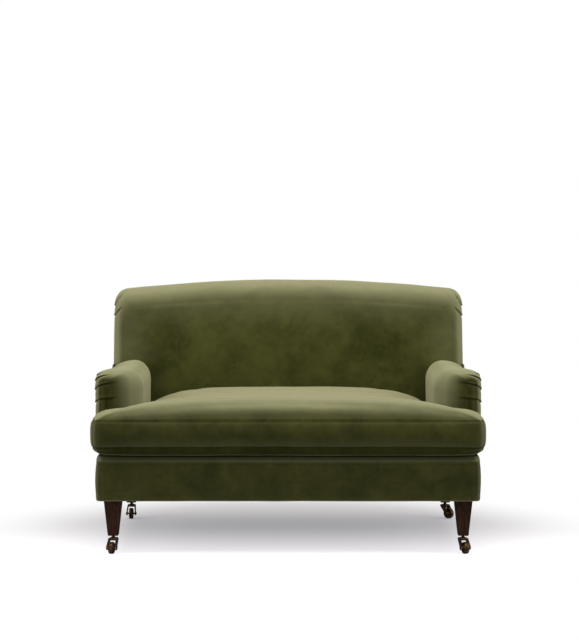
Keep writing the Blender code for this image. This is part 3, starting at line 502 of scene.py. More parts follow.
# Painted shade of the weave: lighter where the thread lies on top.
weave_painted_shade = remap(woven, weave, -1, 1, 0.6, 1.35)
thread_colour = toned(woven, woven_in["Thread colour"], weave_painted_shade, weave_painted_shade, weave_painted_shade)
set_inputs(woven, woven_out, {"Colour": thread_colour, "Height": weave})


def make_cloth(name, thread, threads_per_metre):
    looks = {"Roughness": 0.92, "Sheen Weight": 0.15, "Specular IOR Level": 0.2}
    material, tree, shader = new_material(name, looks)
    inputs = {"Vector": object_coordinates(tree), "Thread colour": (*thread, 1)}
    inputs["Threads per metre"] = threads_per_metre
    group = add_node(tree, "ShaderNodeGroup", inputs, node_tree=woven)
    finish_from(tree, shader, group, 0.4, 0.0003)
    return material


black_cambric = make_cloth("black cambric", (0.010, 0.010, 0.011), 620.0)
zip_twill = make_cloth("zip twill", (0.020, 0.022, 0.008), 1500.0)
print("cloths:", black_cambric.name, "and", zip_twill.name)

# %% [markdown]
# ## Finishing the hard pieces
#
# The legs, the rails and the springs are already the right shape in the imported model, so they only
# need their finishes. A rail takes the beech whose grain runs along its longest side.

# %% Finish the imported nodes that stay
spring_count = 5
beech_nodes = [s["node"] for s in frame["record"]["subparts"] if s["material_slot"] == "beech"]
finish_of = {}
for name in beech_nodes:
    low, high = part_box(name)
    longest = max(range(3), key=lambda axis: (high - low)[axis])
    finish_of[name] = beech_along["xyz"[longest]]
for corner in ("front_left", "front_right", "rear_left", "rear_right"):
    finish_of[f"{corner}_leg"] = walnut
for number in range(1, spring_count + 1):
    finish_of[f"seat_spring_{number}"] = spring_steel
for name, material in finish_of.items():
    node = frame["nodes"][name]
    node.data.materials.clear()
    node.data.materials.append(material)
print("packed nodes finished:", len(finish_of))

# %% [markdown]
# ## Tools for upholstery
#
# Upholstered shapes are skins with lines running two ways, so most start as one flat grid. The
# grid gets as many columns and rows as the shape needs, close together where the cloth turns, and
# every point is then put where a small function says. The seams of the finished piece fall on grid
# lines.


# %% Upholstery helpers
def spread(*spans):
    """Line positions from spans of (start, end, number of steps) that follow each other."""
    lines = [spans[0][0]]
    for start, end, steps in spans:
        lines += [start + (end - start) * (i + 1) / steps for i in range(steps)]
    return lines


def draped_grid(across, along, place):
    """A grid with a line at each position of across and along, its points put by place(u, v)."""
    bm = bmesh.new()
    columns, rows = len(across) - 1, len(along) - 1
    bmesh.ops.create_grid(bm, x_segments=columns, y_segments=rows, size=1)
    for vert in bm.verts:
        u = across[round((vert.co.x + 1) / 2 * columns)]
        v = along[round((vert.co.y + 1) / 2 * rows)]
        vert.co = place(u, v)
    return bm


def smooth_step(value, start, end):
    """0 before the start, 1 after the end, and an S-shaped rise in between."""
    share = min(1.0, max(0.0, (value - start) / (end - start)))
    return share * share * (3 - 2 * share)


def hump(value, middle, width):
    """A bell curve: 1 at the middle, and almost 0 two widths away."""
    return math.exp(-(((value - middle) / width) ** 2))


def add_piece(name, bm, material, smooth=True):
    """Makes a bmesh a piece of the sofa with its faces pointing out."""
    bmesh.ops.remove_doubles(bm, verts=bm.verts, dist=0.00002)
    bmesh.ops.recalc_face_normals(bm, faces=bm.faces)
    mesh = bpy.data.meshes.new(name)
    bm.to_mesh(mesh)
    bm.free()
    if smooth:
        mesh.shade_smooth()
    mesh.materials.append(material)
    piece = bpy.data.objects.new(name, mesh)
    scene.collection.objects.link(piece)
    return piece


def sort_by_place(bm):
    """Puts points, edges and faces in order of height, depth and width. Extrude and spin leave them
    in an order that changes from run to run, and a simulation would end a little differently."""

    def rank(place):
        return round(place.x, 5) + 1e3 * round(place.y, 5) + 1e6 * round(place.z, 5)

    bm.verts.sort(key=lambda vert: rank(vert.co))
    bm.edges.sort(key=lambda edge: rank(edge.verts[0].co + edge.verts[1].co))
    bm.faces.sort(key=lambda face: rank(face.calc_center_median()))


def mirror_to_left(bm):
    bmesh.ops.scale(bm, vec=(-1, 1, 1), verts=bm.verts)
    bmesh.ops.reverse_faces(bm, faces=bm.faces)


def bake_modifiers(piece):
    """Applies the piece's modifiers to its mesh."""
    graph = bpy.context.evaluated_depsgraph_get()
    baked = bpy.data.meshes.new_from_object(piece.evaluated_get(graph))
    old = piece.data
    piece.modifiers.clear()
    piece.data = baked
    bpy.data.meshes.remove(old)
    baked.name = piece.name


def subdivide(piece):
    modifier = piece.modifiers.new("subdivision", "SUBSURF")
    modifier.levels = modifier.render_levels = 1
    bake_modifiers(piece)


def give_thickness(piece, thickness, offset=-1):
    """Makes a sheet as thick as its cloth. At offset -1 the thickness goes inwards."""
    modifier = piece.modifiers.new("thickness", "SOLIDIFY")
    modifier.thickness = thickness
    modifier.offset = offset
    bake_modifiers(piece)


def close_holes(piece):
    """Closes the open rims that lie inside the sofa, so that the piece is one closed body. The rims
    are marked sharp, so that the closing faces don't bend the shading beside them."""
    bm = bmesh.new()
    bm.from_mesh(piece.data)
    rims = [edge for edge in bm.edges if edge.is_boundary]
    for edge in rims:
        edge.smooth = False
    if rims:
        bmesh.ops.holes_fill(bm, edges=rims, sides=0)
    bmesh.ops.recalc_face_normals(bm, faces=bm.faces)
    bm.to_mesh(piece.data)
    bm.free()


def push_out(piece, distance_at):
    """Moves each point along its normal by distance_at(point). The normals are read first, because
    they would be worked out anew after every move."""
    normals = [vert.normal.copy() for vert in piece.data.vertices]
    for vert, normal in zip(piece.data.vertices, normals):
        vert.co += normal * distance_at(vert.co)


def paint_nap_and_light(piece, nap_and_light_at):
    """Writes the painted shade (up to 1) and the painted highlight (down to -1) at each point."""
    values = piece.data.attributes.new("nap_and_painted_light", "FLOAT", "POINT").data
    for vert in piece.data.vertices:
        values[vert.index].value = nap_and_light_at(vert.co)


def crush(piece, depth, size, seed):
    """Dents and lifts the surface by a soft noise, as stuffing and wear do."""
    offset = Vector((seed, seed, seed))
    push_out(piece, lambda point: depth * noise.noise(point / size + offset))


def dress(piece, body, slot, *nodes, fill=None):
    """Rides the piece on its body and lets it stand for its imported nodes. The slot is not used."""
    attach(piece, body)
    if nodes:
        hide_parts(*nodes)
    print(f"{piece.name}: {len(piece.data.polygons)} faces")


# %% [markdown]
# ## The back
#
# The back is one pad whose cover runs over the face, the crest and the sides without a seam. The
# crest is an arch, rolled with a large radius on top and a smaller one at the sides. At the two
# top corners the cloth has too much length for the turn, so it is laid in small tucks. The grid
# runs from the pad's middle outwards: over the face, round the edge, and back to the rear seam.

# %% The back
back_half_width = 0.654
back_foot = 0.312
back_crest = 0.900
crest_drop = 0.026
crest_run = 0.550
crest_corner = 0.051
back_round_side = 0.040
back_round_top = 0.080
back_round_depth = 0.072
back_rear_round = 0.020
back_shoulder = 0.583
shoulder_step = 0.010
back_crown = 0.011
crown_half_width, crown_half_height, crown_z = 0.614, 0.27, 0.56
inside_face = ((0.335, 0.170), (0.900, 0.300))
outside_face = ((0.180, 0.390), (0.900, 0.452))


def leaning_y(z, low, high):
    """The Y at a height on a face that leans through two points, each a Z and a Y."""
    return low[1] + (z - low[0]) * (high[1] - low[1]) / (high[0] - low[0])


def inside_back_y(z):
    return leaning_y(z, *inside_face)


def outside_back_y(z):
    return leaning_y(z, *outside_face)


def crest_z(x, lowered=0.0):
    """The height of the arched crest, or of a line that much under it."""
    return back_crest - lowered - crest_drop * (x / crest_run) ** 2


def back_outline(station, side, top):
    """A point of the back seen from the front: 0 to 1 up the right side, to 2 round the corner, to
    3 over the crest, to 4 round the left corner, to 5 down the left side."""
    mirror = 1
    if station > 2.5:
        station, mirror = 5 - station, -1
    half = back_half_width - side
    run = half - crest_corner
    start = crest_z(run, top) - crest_corner
    if station < 1:
        x, z = half, back_foot + (start - back_foot) * station
        x -= shoulder_step * smooth_step(back_shoulder - z, 0, 0.004)
    elif station < 2:
        turn = (station - 1) * math.pi / 2
        x, z = run + crest_corner * math.cos(turn), start + crest_corner * math.sin(turn)
    else:
        x = run * (1 - (station - 2) * 2)
        z = crest_z(x, top)
    return mirror * x, z


def place_on_back(station, row):
    """Rows 0 to 1 cross the face, to 2 round its edge, to 3 go back, to 5 turn in behind."""
    if row <= 1:
        x, z = back_outline(station, back_round_side, back_round_top)
        share = row**0.8
        x, z = x * share, back_foot + (z - back_foot) * share
        across, up = abs(x) / crown_half_width, abs(z - crown_z) / crown_half_height
        crown = back_crown * (1 - across**3.2) * (1 - up**3)
        return Vector((x, inside_back_y(z) - max(0.0, crown), z))
    if row <= 2:
        turn = (row - 1) * math.pi / 2
        drawn, set_back = 1 - math.sin(turn), 1 - math.cos(turn)
        x, z = back_outline(station, back_round_side * drawn, back_round_top * drawn)
        return Vector((x, inside_back_y(z) + back_round_depth * set_back, z))
    if row <= 3:
        x, z = back_outline(station, 0, 0)
        start = inside_back_y(z) + back_round_depth
        return Vector((x, start + (outside_back_y(z) - back_rear_round - start) * (row - 2), z))
    turn = min(1, row - 3) * math.pi / 2
    inset = back_rear_round * (1 - math.cos(turn)) + 0.012 * max(0, row - 4)
    x, z = back_outline(station, inset, inset)
    behind = back_rear_round * (1 - math.sin(turn)) + 0.0035 * max(0, row - 4)
    behind += 0.008 * smooth_step(back_shoulder + shoulder_step - z, 0, 0.012) * min(1, row - 3)
    return Vector((x, outside_back_y(z) - behind, z))


# Each tuck is (height at the side, rise inwards, length, strength).
back_tucks = ((0.811, 1.45, 0.035, 1.0), (0.774, 0.85, 0.035, 0.9), (0.842, 2.0, 0.030, 0.35))
ridge_height, ridge_width = 0.0028, 0.009
valley_depth, valley_width = 0.0075, 0.0045


def tucks_at(point, tucks, inwards, behind, lean, fade_length, bend=0.0):
    """The distance from each tuck's crease and its strength there. The bend makes a crease rise
    steeply first and then flatten."""
    for crease, rise, length, strength in tucks:
        fade = strength * smooth_step(length - inwards, 0, fade_length)
        reach = min(inwards, length)
        bent = rise * inwards + bend * (1 - math.exp(-reach / 0.012))
        yield crease + bent - lean * behind - point.z, fade


def fold(distance):
    """The height of a tuck's cloth beside its crease: a ridge before it, a valley after it."""
    if distance < 0:
        return ridge_height * math.exp(distance / ridge_width)
    return -valley_depth * math.exp(-distance / valley_width)


def tuck_height(point, find_tucks):
    return sum(fade * fold(distance) for distance, fade in find_tucks(point))


def tuck_painted_shade(point, find_tucks):
    """Painted shade darkens each crease."""
    shut = sum(fade * hump(distance, 0.001, 0.0032) for distance, fade in find_tucks(point))
    return min(1.0, 0.35 * shut)


def back_tuck_places(point):
    inwards = back_half_width - abs(point.x)
    behind = point.y - inside_back_y(point.z)
    seen = smooth_step(outside_back_y(point.z) - point.y, 0.02, 0.06)
    for distance, fade in tucks_at(point, back_tucks, inwards, behind, 0.10, 0.016):
        yield distance, fade * seen


def back_painted_light(point):
    """Painted shade in the tucks, beside the arms and towards the seat, and a painted sheen along
    the sides and the crest.
    """
    inwards = min(back_half_width - abs(point.x), crest_z(point.x) - point.z)
    # Painted sheen along the sides and the crest.
    wear_and_sheen = (1 - smooth_step(inwards, 0.04, 0.19)) * (0.3 + 0.7 * smooth_step(inwards, 0, 0.035))
    in_recess = smooth_step(abs(point.x), 0.43, 0.51) * smooth_step(0.62 - point.z, 0, 0.08)
    at_seat = smooth_step(0.56 - point.z, 0, 0.10)
    return tuck_painted_shade(point, back_tuck_places) - 0.22 * wear_and_sheen + 0.35 * in_recess + 0.12 * at_seat


half_outline = spread((0, 0.78, 30), (0.78, 1, 44), (1, 2, 30), (2, 2.5, 44))
back_stations = half_outline + [5 - s for s in reversed(half_outline[:-1])]
back_rows = spread((0.02, 0.8, 22), (0.8, 1, 8), (1, 2, 16), (2, 3, 9), (3, 4, 6), (4, 5, 2))
back = add_piece("back_upholstery", draped_grid(back_stations, back_rows, place_on_back), velvet)
subdivide(back)
push_out(back, lambda point: tuck_height(point, back_tuck_places))
paint_nap_and_light(back, back_painted_light)
crush(back, 0.0022, 0.16, 3.0)
close_holes(back)
dress(back, "carcass", "velvet", "back_cover", "back_pad", fill=0.85)

# %% [markdown]
# ## The arms
#
# Each arm is a roll that is fullest towards its inner side and falls away to the outer side. Its
# cover starts low on the inner side, turns over the top, and is tucked under the roll on the outer
# side. At the front the cover turns to close the end: in a long, soft curve at the inner side, and
# tightly at the outer side, where the spare cloth is laid in tucks. Both arms come from one
# function for the right arm, and the left one is its mirror image.

# %% The arms
arm_front = -0.300
arm_inner = 0.508
arm_outer = 0.668
arm_top = 0.607
arm_crown_share = 0.375
arm_inner_drop = 0.072
arm_outer_drop = 0.070
arm_foot = 0.301
arm_lip = 0.531
front_inner_depth = 0.150
front_outer_depth = 0.045
front_round_inner = 0.100
front_round_top = 0.032
front_round_outer = 0.022
arm_hidden_length = 0.055
spine_x, spine_top = 0.625, 0.538
panel_recess = 0.014


def arm_section(station, inner, top, outer, fullness=0.0):
    """A point of the right arm's section: 0 to 1 up the inner side, to 2 up to the crown, to 3 over
    to the outer side, to 4 down it. The fullness squares its outer shoulder."""
    left, right, crown = arm_inner + inner, arm_outer - outer, arm_top - top
    peak = left + (right - left) * arm_crown_share
    inner_drop, outer_drop = arm_inner_drop - top, arm_outer_drop - top
    if station < 1:
        return left, arm_foot + (crown - inner_drop - arm_foot) * station
    if station < 2:
        turn = math.pi * (1 - (station - 1) / 2)
        return peak + (peak - left) * math.cos(turn), crown - inner_drop * (1 - math.sin(turn))
    if station < 3:
        turn = math.pi / 2 * (3 - station)
        power = 1 / (1 + 1.6 * fullness)
        across, up = max(0.0, math.cos(turn)) ** power, math.sin(turn) ** power
        return peak + (right - peak) * across, crown - outer_drop * (1 - up)
    z = crown - outer_drop - (crown - outer_drop - arm_foot) * (station - 3)
    tuck = 0.0015 * smooth_step(arm_top - z, 0.07, 0.107) + 0.0130 * smooth_step(0.47 - z, 0, 0.17)
    return right - tuck, z


def arm_front_y(x, left, right, set_back):
    """The front rounding is deep at the arm's inner side and shallow at its outer side."""
    inwards = (right - x) / (right - left)
    depth = front_outer_depth + (front_inner_depth - front_outer_depth) * inwards**2
    return arm_front + depth * set_back


arm_rounding_end = arm_front_y(arm_outer - 0.0145, arm_inner, arm_outer, 1)


def place_on_arm(station, row):
    """Rows 0 to 1 come forward along the roll, to 2 turn the front edge, to 3 close the front."""
    if row <= 1:
        x, z = arm_section(station, 0, 0, 0, smooth_step(row, 0.62, 0.98))
        rear = inside_back_y(z) + arm_hidden_length
        y = rear + (arm_front_y(x, arm_inner, arm_outer, 1) - rear) * row
        if station > 3 and y > arm_rounding_end + 0.0005:
            x -= panel_recess * smooth_step(arm_lip - z, 0, 0.004)
        return Vector((x, y, z))
    turn = min(1.0, row - 1) * math.pi / 2
    drawn = 1 - math.cos(turn)
    rounding = (front_round_inner * drawn, front_round_top * drawn, front_round_outer * drawn)
    x, z = arm_section(station, *rounding, 1.0)
    left, right = arm_inner + front_round_inner * drawn, arm_outer - front_round_outer * drawn
    y = arm_front_y(x, left, right, 1 - math.sin(turn))
    if row > 2:
        share = row - 2
        x, z = x + (spine_x - x) * share, z + (min(z, spine_top) - z) * share
        y -= 0.004 * math.sin(share * math.pi / 2)
    return Vector((x, y, z))


arm_tucks = (
    (0.600, 0.04, 0.034, 0.75), (0.582, 0.20, 0.056, 0.7),
    (0.551, 0.20, 0.084, 0.9), (0.506, 0.08, 0.088, 0.9),
)
arm_tuck_lean, arm_tuck_fade, arm_tuck_bend = 0.25, 0.040, 0.007


def arm_tuck_places(point):
    inwards = arm_outer - abs(point.x)
    behind = max(0.0, point.y - arm_front)
    seen = smooth_step(0.075 - behind, 0, 0.035)
    shape = (arm_tuck_lean, arm_tuck_fade, arm_tuck_bend)
    for distance, fade in tucks_at(point, arm_tucks, inwards, behind, *shape):
        yield distance, fade * seen


def arm_painted_light(point):
    """Painted shade in the tucks, and a painted highlight down the inner side, below the crown."""
    inner = smooth_step(0.620 - abs(point.x), 0, 0.050)
    return tuck_painted_shade(point, arm_tuck_places) - 0.25 * inner * smooth_step(0.606 - point.z, 0, 0.050)


arm_stations = spread(
    (0, 0.6, 8), (0.6, 1, 32), (1, 2, 28), (2, 2.4, 14), (2.4, 3, 44), (3, 3.3, 44), (3.3, 4, 14)
)
arm_rows = spread((0, 0.85, 30), (0.85, 1, 12), (1, 2, 26), (2, 3, 22))
for side, sign in (("left", -1), ("right", 1)):
    arm_mesh = draped_grid(arm_stations, arm_rows, place_on_arm)
    if sign < 0:
        mirror_to_left(arm_mesh)
    arm = add_piece(f"{side}_arm_upholstery", arm_mesh, velvet)
    subdivide(arm)
    push_out(arm, lambda point: tuck_height(point, arm_tuck_places))
    paint_nap_and_light(arm, arm_painted_light)
    crush(arm, 0.0016, 0.11, 5.0 + sign)
    close_holes(arm)
    dress(arm, "carcass", "velvet", f"{side}_arm_cover", f"{side}_arm_pad", fill=0.9)

# %% [markdown]
# ## The base
#
# A band of velvet runs round the front of the base. It starts on the seat's edge roll, comes over
# a soft lip, hangs straight down the rails, and turns under them at the bottom. The same section
# is carried from the left arm, round the two front corners, to the right arm.

# %% The base's border
base_half_width = 0.649
base_front = -0.440
base_bottom = 0.180
deck_top = 0.335
base_corner = 0.030
lip_radius = 0.0245
foot_radius = 0.008
border_seam = 0.3045
bead_height = 0.1905
border_return = 0.020
border_lap = 0.055
bead_size = 0.0012
corner_fold = 0.0055
front_swell = 0.0032
side_lip_share = 0.45
cloth_thickness = 0.003


def border_section(row):
    """How far the border is drawn in, and its height: 0 to 1 on the deck, to 2 over the lip, to 3
    down the front, to 4 round the foot, to 5 under the rails."""
    if row <= 1:
        return border_lap - (border_lap - lip_radius) * row, deck_top
    if row <= 2:
        turn = (row - 1) * math.pi / 2
        return lip_radius * (1 - math.sin(turn)), deck_top - lip_radius * (1 - math.cos(turn))
    if row <= 3:
        top, bottom = deck_top - lip_radius, base_bottom + foot_radius
        height = top - (top - bottom) * (row - 2)
        seam = bead_size * hump(height, border_seam, 0.0060)
        bead = bead_size * hump(height, bead_height, 0.0045)
        return seam - bead, height
    if row <= 4:
        turn = (row - 3) * math.pi / 2
        drawn = foot_radius * (1 - math.cos(turn)) - bead_size * math.cos(turn)
        return drawn, base_bottom + foot_radius * (1 - math.sin(turn))
    return foot_radius + border_return * (row - 4), base_bottom + 0.0008 * (row - 4)


def place_on_border(station, row):
    """Stations 0 to 1 come forward on the left, to 2 round the corner, to 3 along the front, to 4
    round the right corner, to 5 back. The lip is drawn in less at the sides than at the front."""
    drawn, z = border_section(row)
    mirror = -1
    if station > 2.5:
        station, mirror = 5 - station, 1
    side_share = side_lip_share
    if row < 1:
        side_share = 1 + (side_lip_share * lip_radius / drawn - 1) * row
    half, front = base_half_width - side_share * drawn, base_front + drawn
    corner = max(base_corner - drawn, 0.0005)
    if 0 < row < 2.2:
        fold_height = corner_fold * hump(station, 1.5, 0.30)
        z += fold_height * smooth_step(row, 0.4, 1) * smooth_step(2.2 - row, 0, 0.7)
    swell = front_swell * math.sin(math.pi * min(1, max(0, row - 2)))
    if station < 1:
        x, y = half + swell, arm_front + (front + corner - arm_front) * station
    elif station < 2:
        turn = (station - 1) * math.pi / 2
        reach = corner + swell
        x, y = half - corner + reach * math.cos(turn), front + corner - reach * math.sin(turn)
    else:
        x, y = (half - corner) * (1 - (station - 2) * 2), front - swell
    return Vector((mirror * x, y, z))


half_border = spread((0, 1, 14), (1, 2, 12), (2, 2.5, 60))
border_stations = half_border + [5 - s for s in reversed(half_border[:-1])]
border_rows = spread(
    (0, 1, 4), (1, 2, 10), (2, 2.2, 12), (2.2, 2.8, 8), (2.8, 3, 12), (3, 4, 6), (4, 5, 2)
)
border_mesh = draped_grid(border_stations, border_rows, place_on_border)
border = add_piece("base_border", border_mesh, velvet)
subdivide(border)


def border_painted_light(point):
    """Painted shade under the cushion and low on the corners, and painted highlights on the lip,
    high on the corners and along the foot.
    """
    # Painted shade where the cushion overhangs the border.
    if point.z > deck_top - 0.0060 and point.y > base_front + 0.010 and abs(point.x) < 0.637:
        return 0.50
    # Painted highlights on the lip and along the foot; at the corners painted shade below, a painted
    # highlight above.
    lip = hump(point.z, 0.3170, 0.0055)
    foot = hump(point.z, base_bottom, 0.0050)
    at_corner = smooth_step(abs(point.x), 0.622, 0.640)
    above = smooth_step(point.z, 0.310, 0.322)
    corner_painted_light = 0.35 * at_corner * (1 - above) - 0.8 * at_corner * above
    return corner_painted_light - (1 - at_corner) * (0.04 + 0.40 * lip + 0.2 * foot)


paint_nap_and_light(border, border_painted_light)
crush(border, 0.0010, 0.10, 11.0)
give_thickness(border, cloth_thickness)
dress(border, "carcass", "velvet", "front_border_cover", fill=0.5)

# %% [markdown]
# ## Flat panels
#
# The outer sides of the arms and the back are single flat pieces of velvet, turned in at their
# edges and sewn on by hand. A panel starts as one face with the pattern's outline. Its rim is set
# in twice, which leaves two narrow bands for the rolled edge, and then it is sliced into small
# squares, so that the middle can be left slightly full.


# %% Cutting a panel
def edge_distance(point, outline):
    """How far a point of the panel lies from the nearest edge of its outline."""
    nearest = 1.0
    for start, end in zip(outline, outline[1:] + outline[:1]):
        start, along = Vector(start), Vector(end) - Vector(start)
        share = min(1, max(0, (point - start).dot(along) / along.length_squared))
        nearest = min(nearest, (point - start - along * share).length)
    return nearest


def cut_panel(outline, spacing, edge=0.006, fullness=0.002, thickness=cloth_thickness):
    """A panel in the XY plane that faces +Z, cut to an outline. Its rim is rolled back."""
    bm = bmesh.new()
    face = bm.faces.new([bm.verts.new((x, y, 0)) for x, y in outline])
    face.normal_update()
    if face.normal.z < 0:
        face.normal_flip()
    for width in (edge * 0.4, edge * 0.6):
        bmesh.ops.inset_region(bm, faces=[face], thickness=width, use_even_offset=True)
    for axis in (0, 1):
        normal = Vector((1 - axis, axis, 0))
        low, high = min(p[axis] for p in outline), max(p[axis] for p in outline)
        steps = math.ceil((high - low) / spacing)
        for number in range(1, steps):
            place = normal * (low + (high - low) * number / steps)
            geometry = bm.verts[:] + bm.edges[:] + bm.faces[:]
            bmesh.ops.bisect_plane(bm, geom=geometry, plane_co=place, plane_no=normal, dist=0.0002)
    for vert in bm.verts:
        distance = edge_distance(vert.co.xy, outline)
        roll = min(1.0, max(0.0, 1 - distance / edge))
        rise = fullness * (1 - math.exp(-distance / 0.05))
        vert.co.z = rise - thickness * (1 - math.sqrt(1 - roll**2))
    return bm


# %% The outer sides of the arms
panel_slope = 0.017
arm_end_y = inside_back_y(arm_top)
panel_top = 0.590
panel_gap = 0.001
step_y, step_low, step_high = arm_rounding_end + 0.0005, arm_foot - panel_gap, arm_lip + 0.003
side_outline = [
    (arm_front, base_bottom), (arm_front, step_low), (step_y, step_low), (step_y, step_high),
    (arm_end_y, step_high), (arm_end_y, panel_top),
    (outside_back_y(panel_top) - panel_gap, panel_top),
    (outside_back_y(base_bottom) - panel_gap, base_bottom),
]
for side, sign in (("left", -1), ("right", 1)):
    panel_mesh = cut_panel(side_outline, 0.016)
    for vert in panel_mesh.verts:
        along, up, proud = vert.co
        vert.co = Vector((base_half_width + (up - base_bottom) * panel_slope + proud, along, up))
    if sign < 0:
        mirror_to_left(panel_mesh)
    panel = add_piece(f"{side}_outside_arm", panel_mesh, velvet)
    crush(panel, 0.0012, 0.13, 21.0 + sign)
    give_thickness(panel, cloth_thickness)
    dress(panel, "carcass", "velvet", f"{side}_outside_arm_panel", fill=0.3)

# %% The outside back
inset = back_rear_round + 0.0025
top_stations = [s for s in half_outline if s >= 1]
top_stations += [5 - s for s in reversed(top_stations[:-1])]
rear_half_width = base_half_width - 0.0015
rear_top_half_width = rear_half_width + (panel_top - base_bottom) * panel_slope
rear_outline = [(rear_half_width, base_bottom), (rear_top_half_width, panel_top)]
rear_outline += [(back_half_width - inset, panel_top)]
rear_outline += [back_outline(s, inset, inset) for s in (*top_stations[::6], 4.0)]
rear_outline += [(-x, z) for x, z in reversed(rear_outline[:3])]
rear_mesh = cut_panel(rear_outline, 0.02)
for vert in rear_mesh.verts:
    across, up, proud = vert.co
    vert.co = Vector((across, outside_back_y(up) + proud - panel_gap, up))
rear_panel = add_piece("outside_back", rear_mesh, velvet)
crush(rear_panel, 0.0014, 0.17, 31.0)
give_thickness(rear_panel, cloth_thickness)
dress(rear_panel, "carcass", "velvet", "outside_back_panel", fill=0.3)

# %% [markdown]
# ## Under the cushion and under the seat
#
# The deck is the platform that the loose cushion lies on. It is stretched between the arms and
# sinks a little between the springs. Under the rails, black cambric keeps dust in, with its edges
# turned over and stapled.

# %% The deck
deck_rear = inside_back_y(deck_top) + 0.004
deck_front = -0.392
deck_padding = 0.020
deck_seam_y = -0.375
spring_pitch = 0.19


def round_arm_front(y):
    """How far the arm's inner side has turned outwards at this Y, from 0 to 1."""
    turned = min(1.0, max(0.0, (arm_front + front_inner_depth - y) / front_inner_depth))
    return 1 - math.sqrt(1 - turned**2)


def place_on_deck(u, v):
    """The deck is wider before the arms, and follows their rounded fronts in between."""
    y = deck_front + (deck_rear - deck_front) * v
    x = (arm_inner + front_round_inner * round_arm_front(y) + 0.0015) * u
    between_springs = (1 + math.cos(x / spring_pitch * 2 * math.pi)) / 2
    dip = 0.0022 * math.sin(math.pi * v) * between_springs
    return Vector((x, y, deck_top + 0.0004 - dip - 0.0025 * hump(y, deck_seam_y, 0.006)))


deck_rows = spread((0, 0.1, 14), (0.1, 0.2, 16), (0.2, 1, 44))
deck_mesh = draped_grid(spread((-1, 1, 110)), deck_rows, place_on_deck)
deck = add_piece("seat_deck", deck_mesh, velvet)
give_thickness(deck, deck_padding)
dress(deck, "carcass", "velvet", "deck_cover", "seat_pad", fill=0.6)

# %% The dust cover
leg_x, front_leg_y, rear_leg_y, leg_half = 0.5925, -0.395, 0.345, 0.0311
cover_side, cover_front, cover_rear, cover_height = 0.632, -0.424, 0.3835, 0.1812
cover_sag = 0.0055
notch_x = leg_x - leg_half
half_cover = [
    (notch_x, cover_front), (notch_x, front_leg_y + leg_half), (cover_side, front_leg_y + leg_half),
    (cover_side, rear_leg_y - leg_half), (notch_x, rear_leg_y - leg_half), (notch_x, cover_rear),
]
cover_outline = half_cover + [(-x, y) for x, y in reversed(half_cover)]
cover_mesh = cut_panel(cover_outline, 0.03, edge=0.004, fullness=0.0, thickness=0.0006)
for vert in cover_mesh.verts:
    edge_gap = edge_distance(vert.co.xy, cover_outline)
    sag = cover_sag * (1 - math.exp(-max(0.0, edge_gap - 0.012) / 0.09))
    waves = math.sin(vert.co.x * 210) * math.sin(vert.co.y * 205)
    vert.co.z = cover_height - sag + 0.0006 * waves * math.exp(-edge_gap / 0.03)
bmesh.ops.reverse_faces(cover_mesh, faces=cover_mesh.faces)
dust_cover = add_piece("dust_cover_cloth", cover_mesh, black_cambric)
give_thickness(dust_cover, 0.0008, offset=0)
dress(dust_cover, "carcass", "black_cambric", "dust_cover")

# %% [markdown]
# ## The seat cushion
#
# One bench cushion fills the seat, and its two wings reach in front of the arms, so that its
# outline is a T. It is boxed: a top and a bottom panel joined by an upright band, with a plain
# seam above and below. The top is crowned because the filling is fuller in the middle than at the
# seams. The flat T is cut from a grid, pushed up to a block, and each point is moved to the
# crowned form. Then a short cloth simulation blows the block up a little, with its seams held,
# which gives the soft tension that real filling gives.

# %% The cushion's form
cushion_half = 0.663
cushion_inner_half = 0.503
cushion_front = -0.460
wing_rear = -0.305
cushion_rear = 0.155
top_seam = 0.452
bottom_seam = 0.363
cushion_underside = 0.3360
main_crown = 0.067
wing_crown = 0.048
cushion_corner = 0.034
side_draw = 0.005
seam_depth = 0.0025
boxing_bulge = 0.0055


def shoulder_curve(share, power):
    """1 in the middle of a side and 0 at its ends, with round shoulders."""
    return math.sqrt(max(0.0, 1 - abs(2 * share - 1) ** power))


def swell_at(x, y, wing, main, power):
    """The swelling over a seam: a bar along the front joined to the part between the arms."""
    across_wings = shoulder_curve((x / cushion_half + 1) / 2, power + 2)
    along_wings = shoulder_curve((y - cushion_front) / (wing_rear - cushion_front), power)
    across_main = shoulder_curve(min(1, max(0, (x / cushion_inner_half + 1) / 2)), power)
    along = (y - cushion_front) / (cushion_rear - cushion_front)
    along_main = shoulder_curve(along, power * (0.8 if along < 0.5 else 2.4))
    bar = wing * across_wings * min(1, along_wings) if y < wing_rear else 0
    return (bar**3 + (main * across_main * along_main) ** 3) ** (1 / 3)


def beside_arm(x, y):
    """Widens the cushion into the corners that the rounded fronts of the arms leave free."""
    fillet = front_round_inner - 0.012
    if y > wing_rear:
        widening = fillet * round_arm_front(y)
    else:
        widening = fillet * ((y - cushion_front) / (wing_rear - cushion_front)) ** 2
    if abs(x) <= cushion_inner_half:
        return x + math.copysign(widening * (abs(x) / cushion_inner_half) ** 3, x)
    share = (abs(x) - cushion_inner_half) / (cushion_half - cushion_inner_half)
    place = cushion_inner_half + widening + (cushion_half - cushion_inner_half - widening) * share
    return math.copysign(place, x)


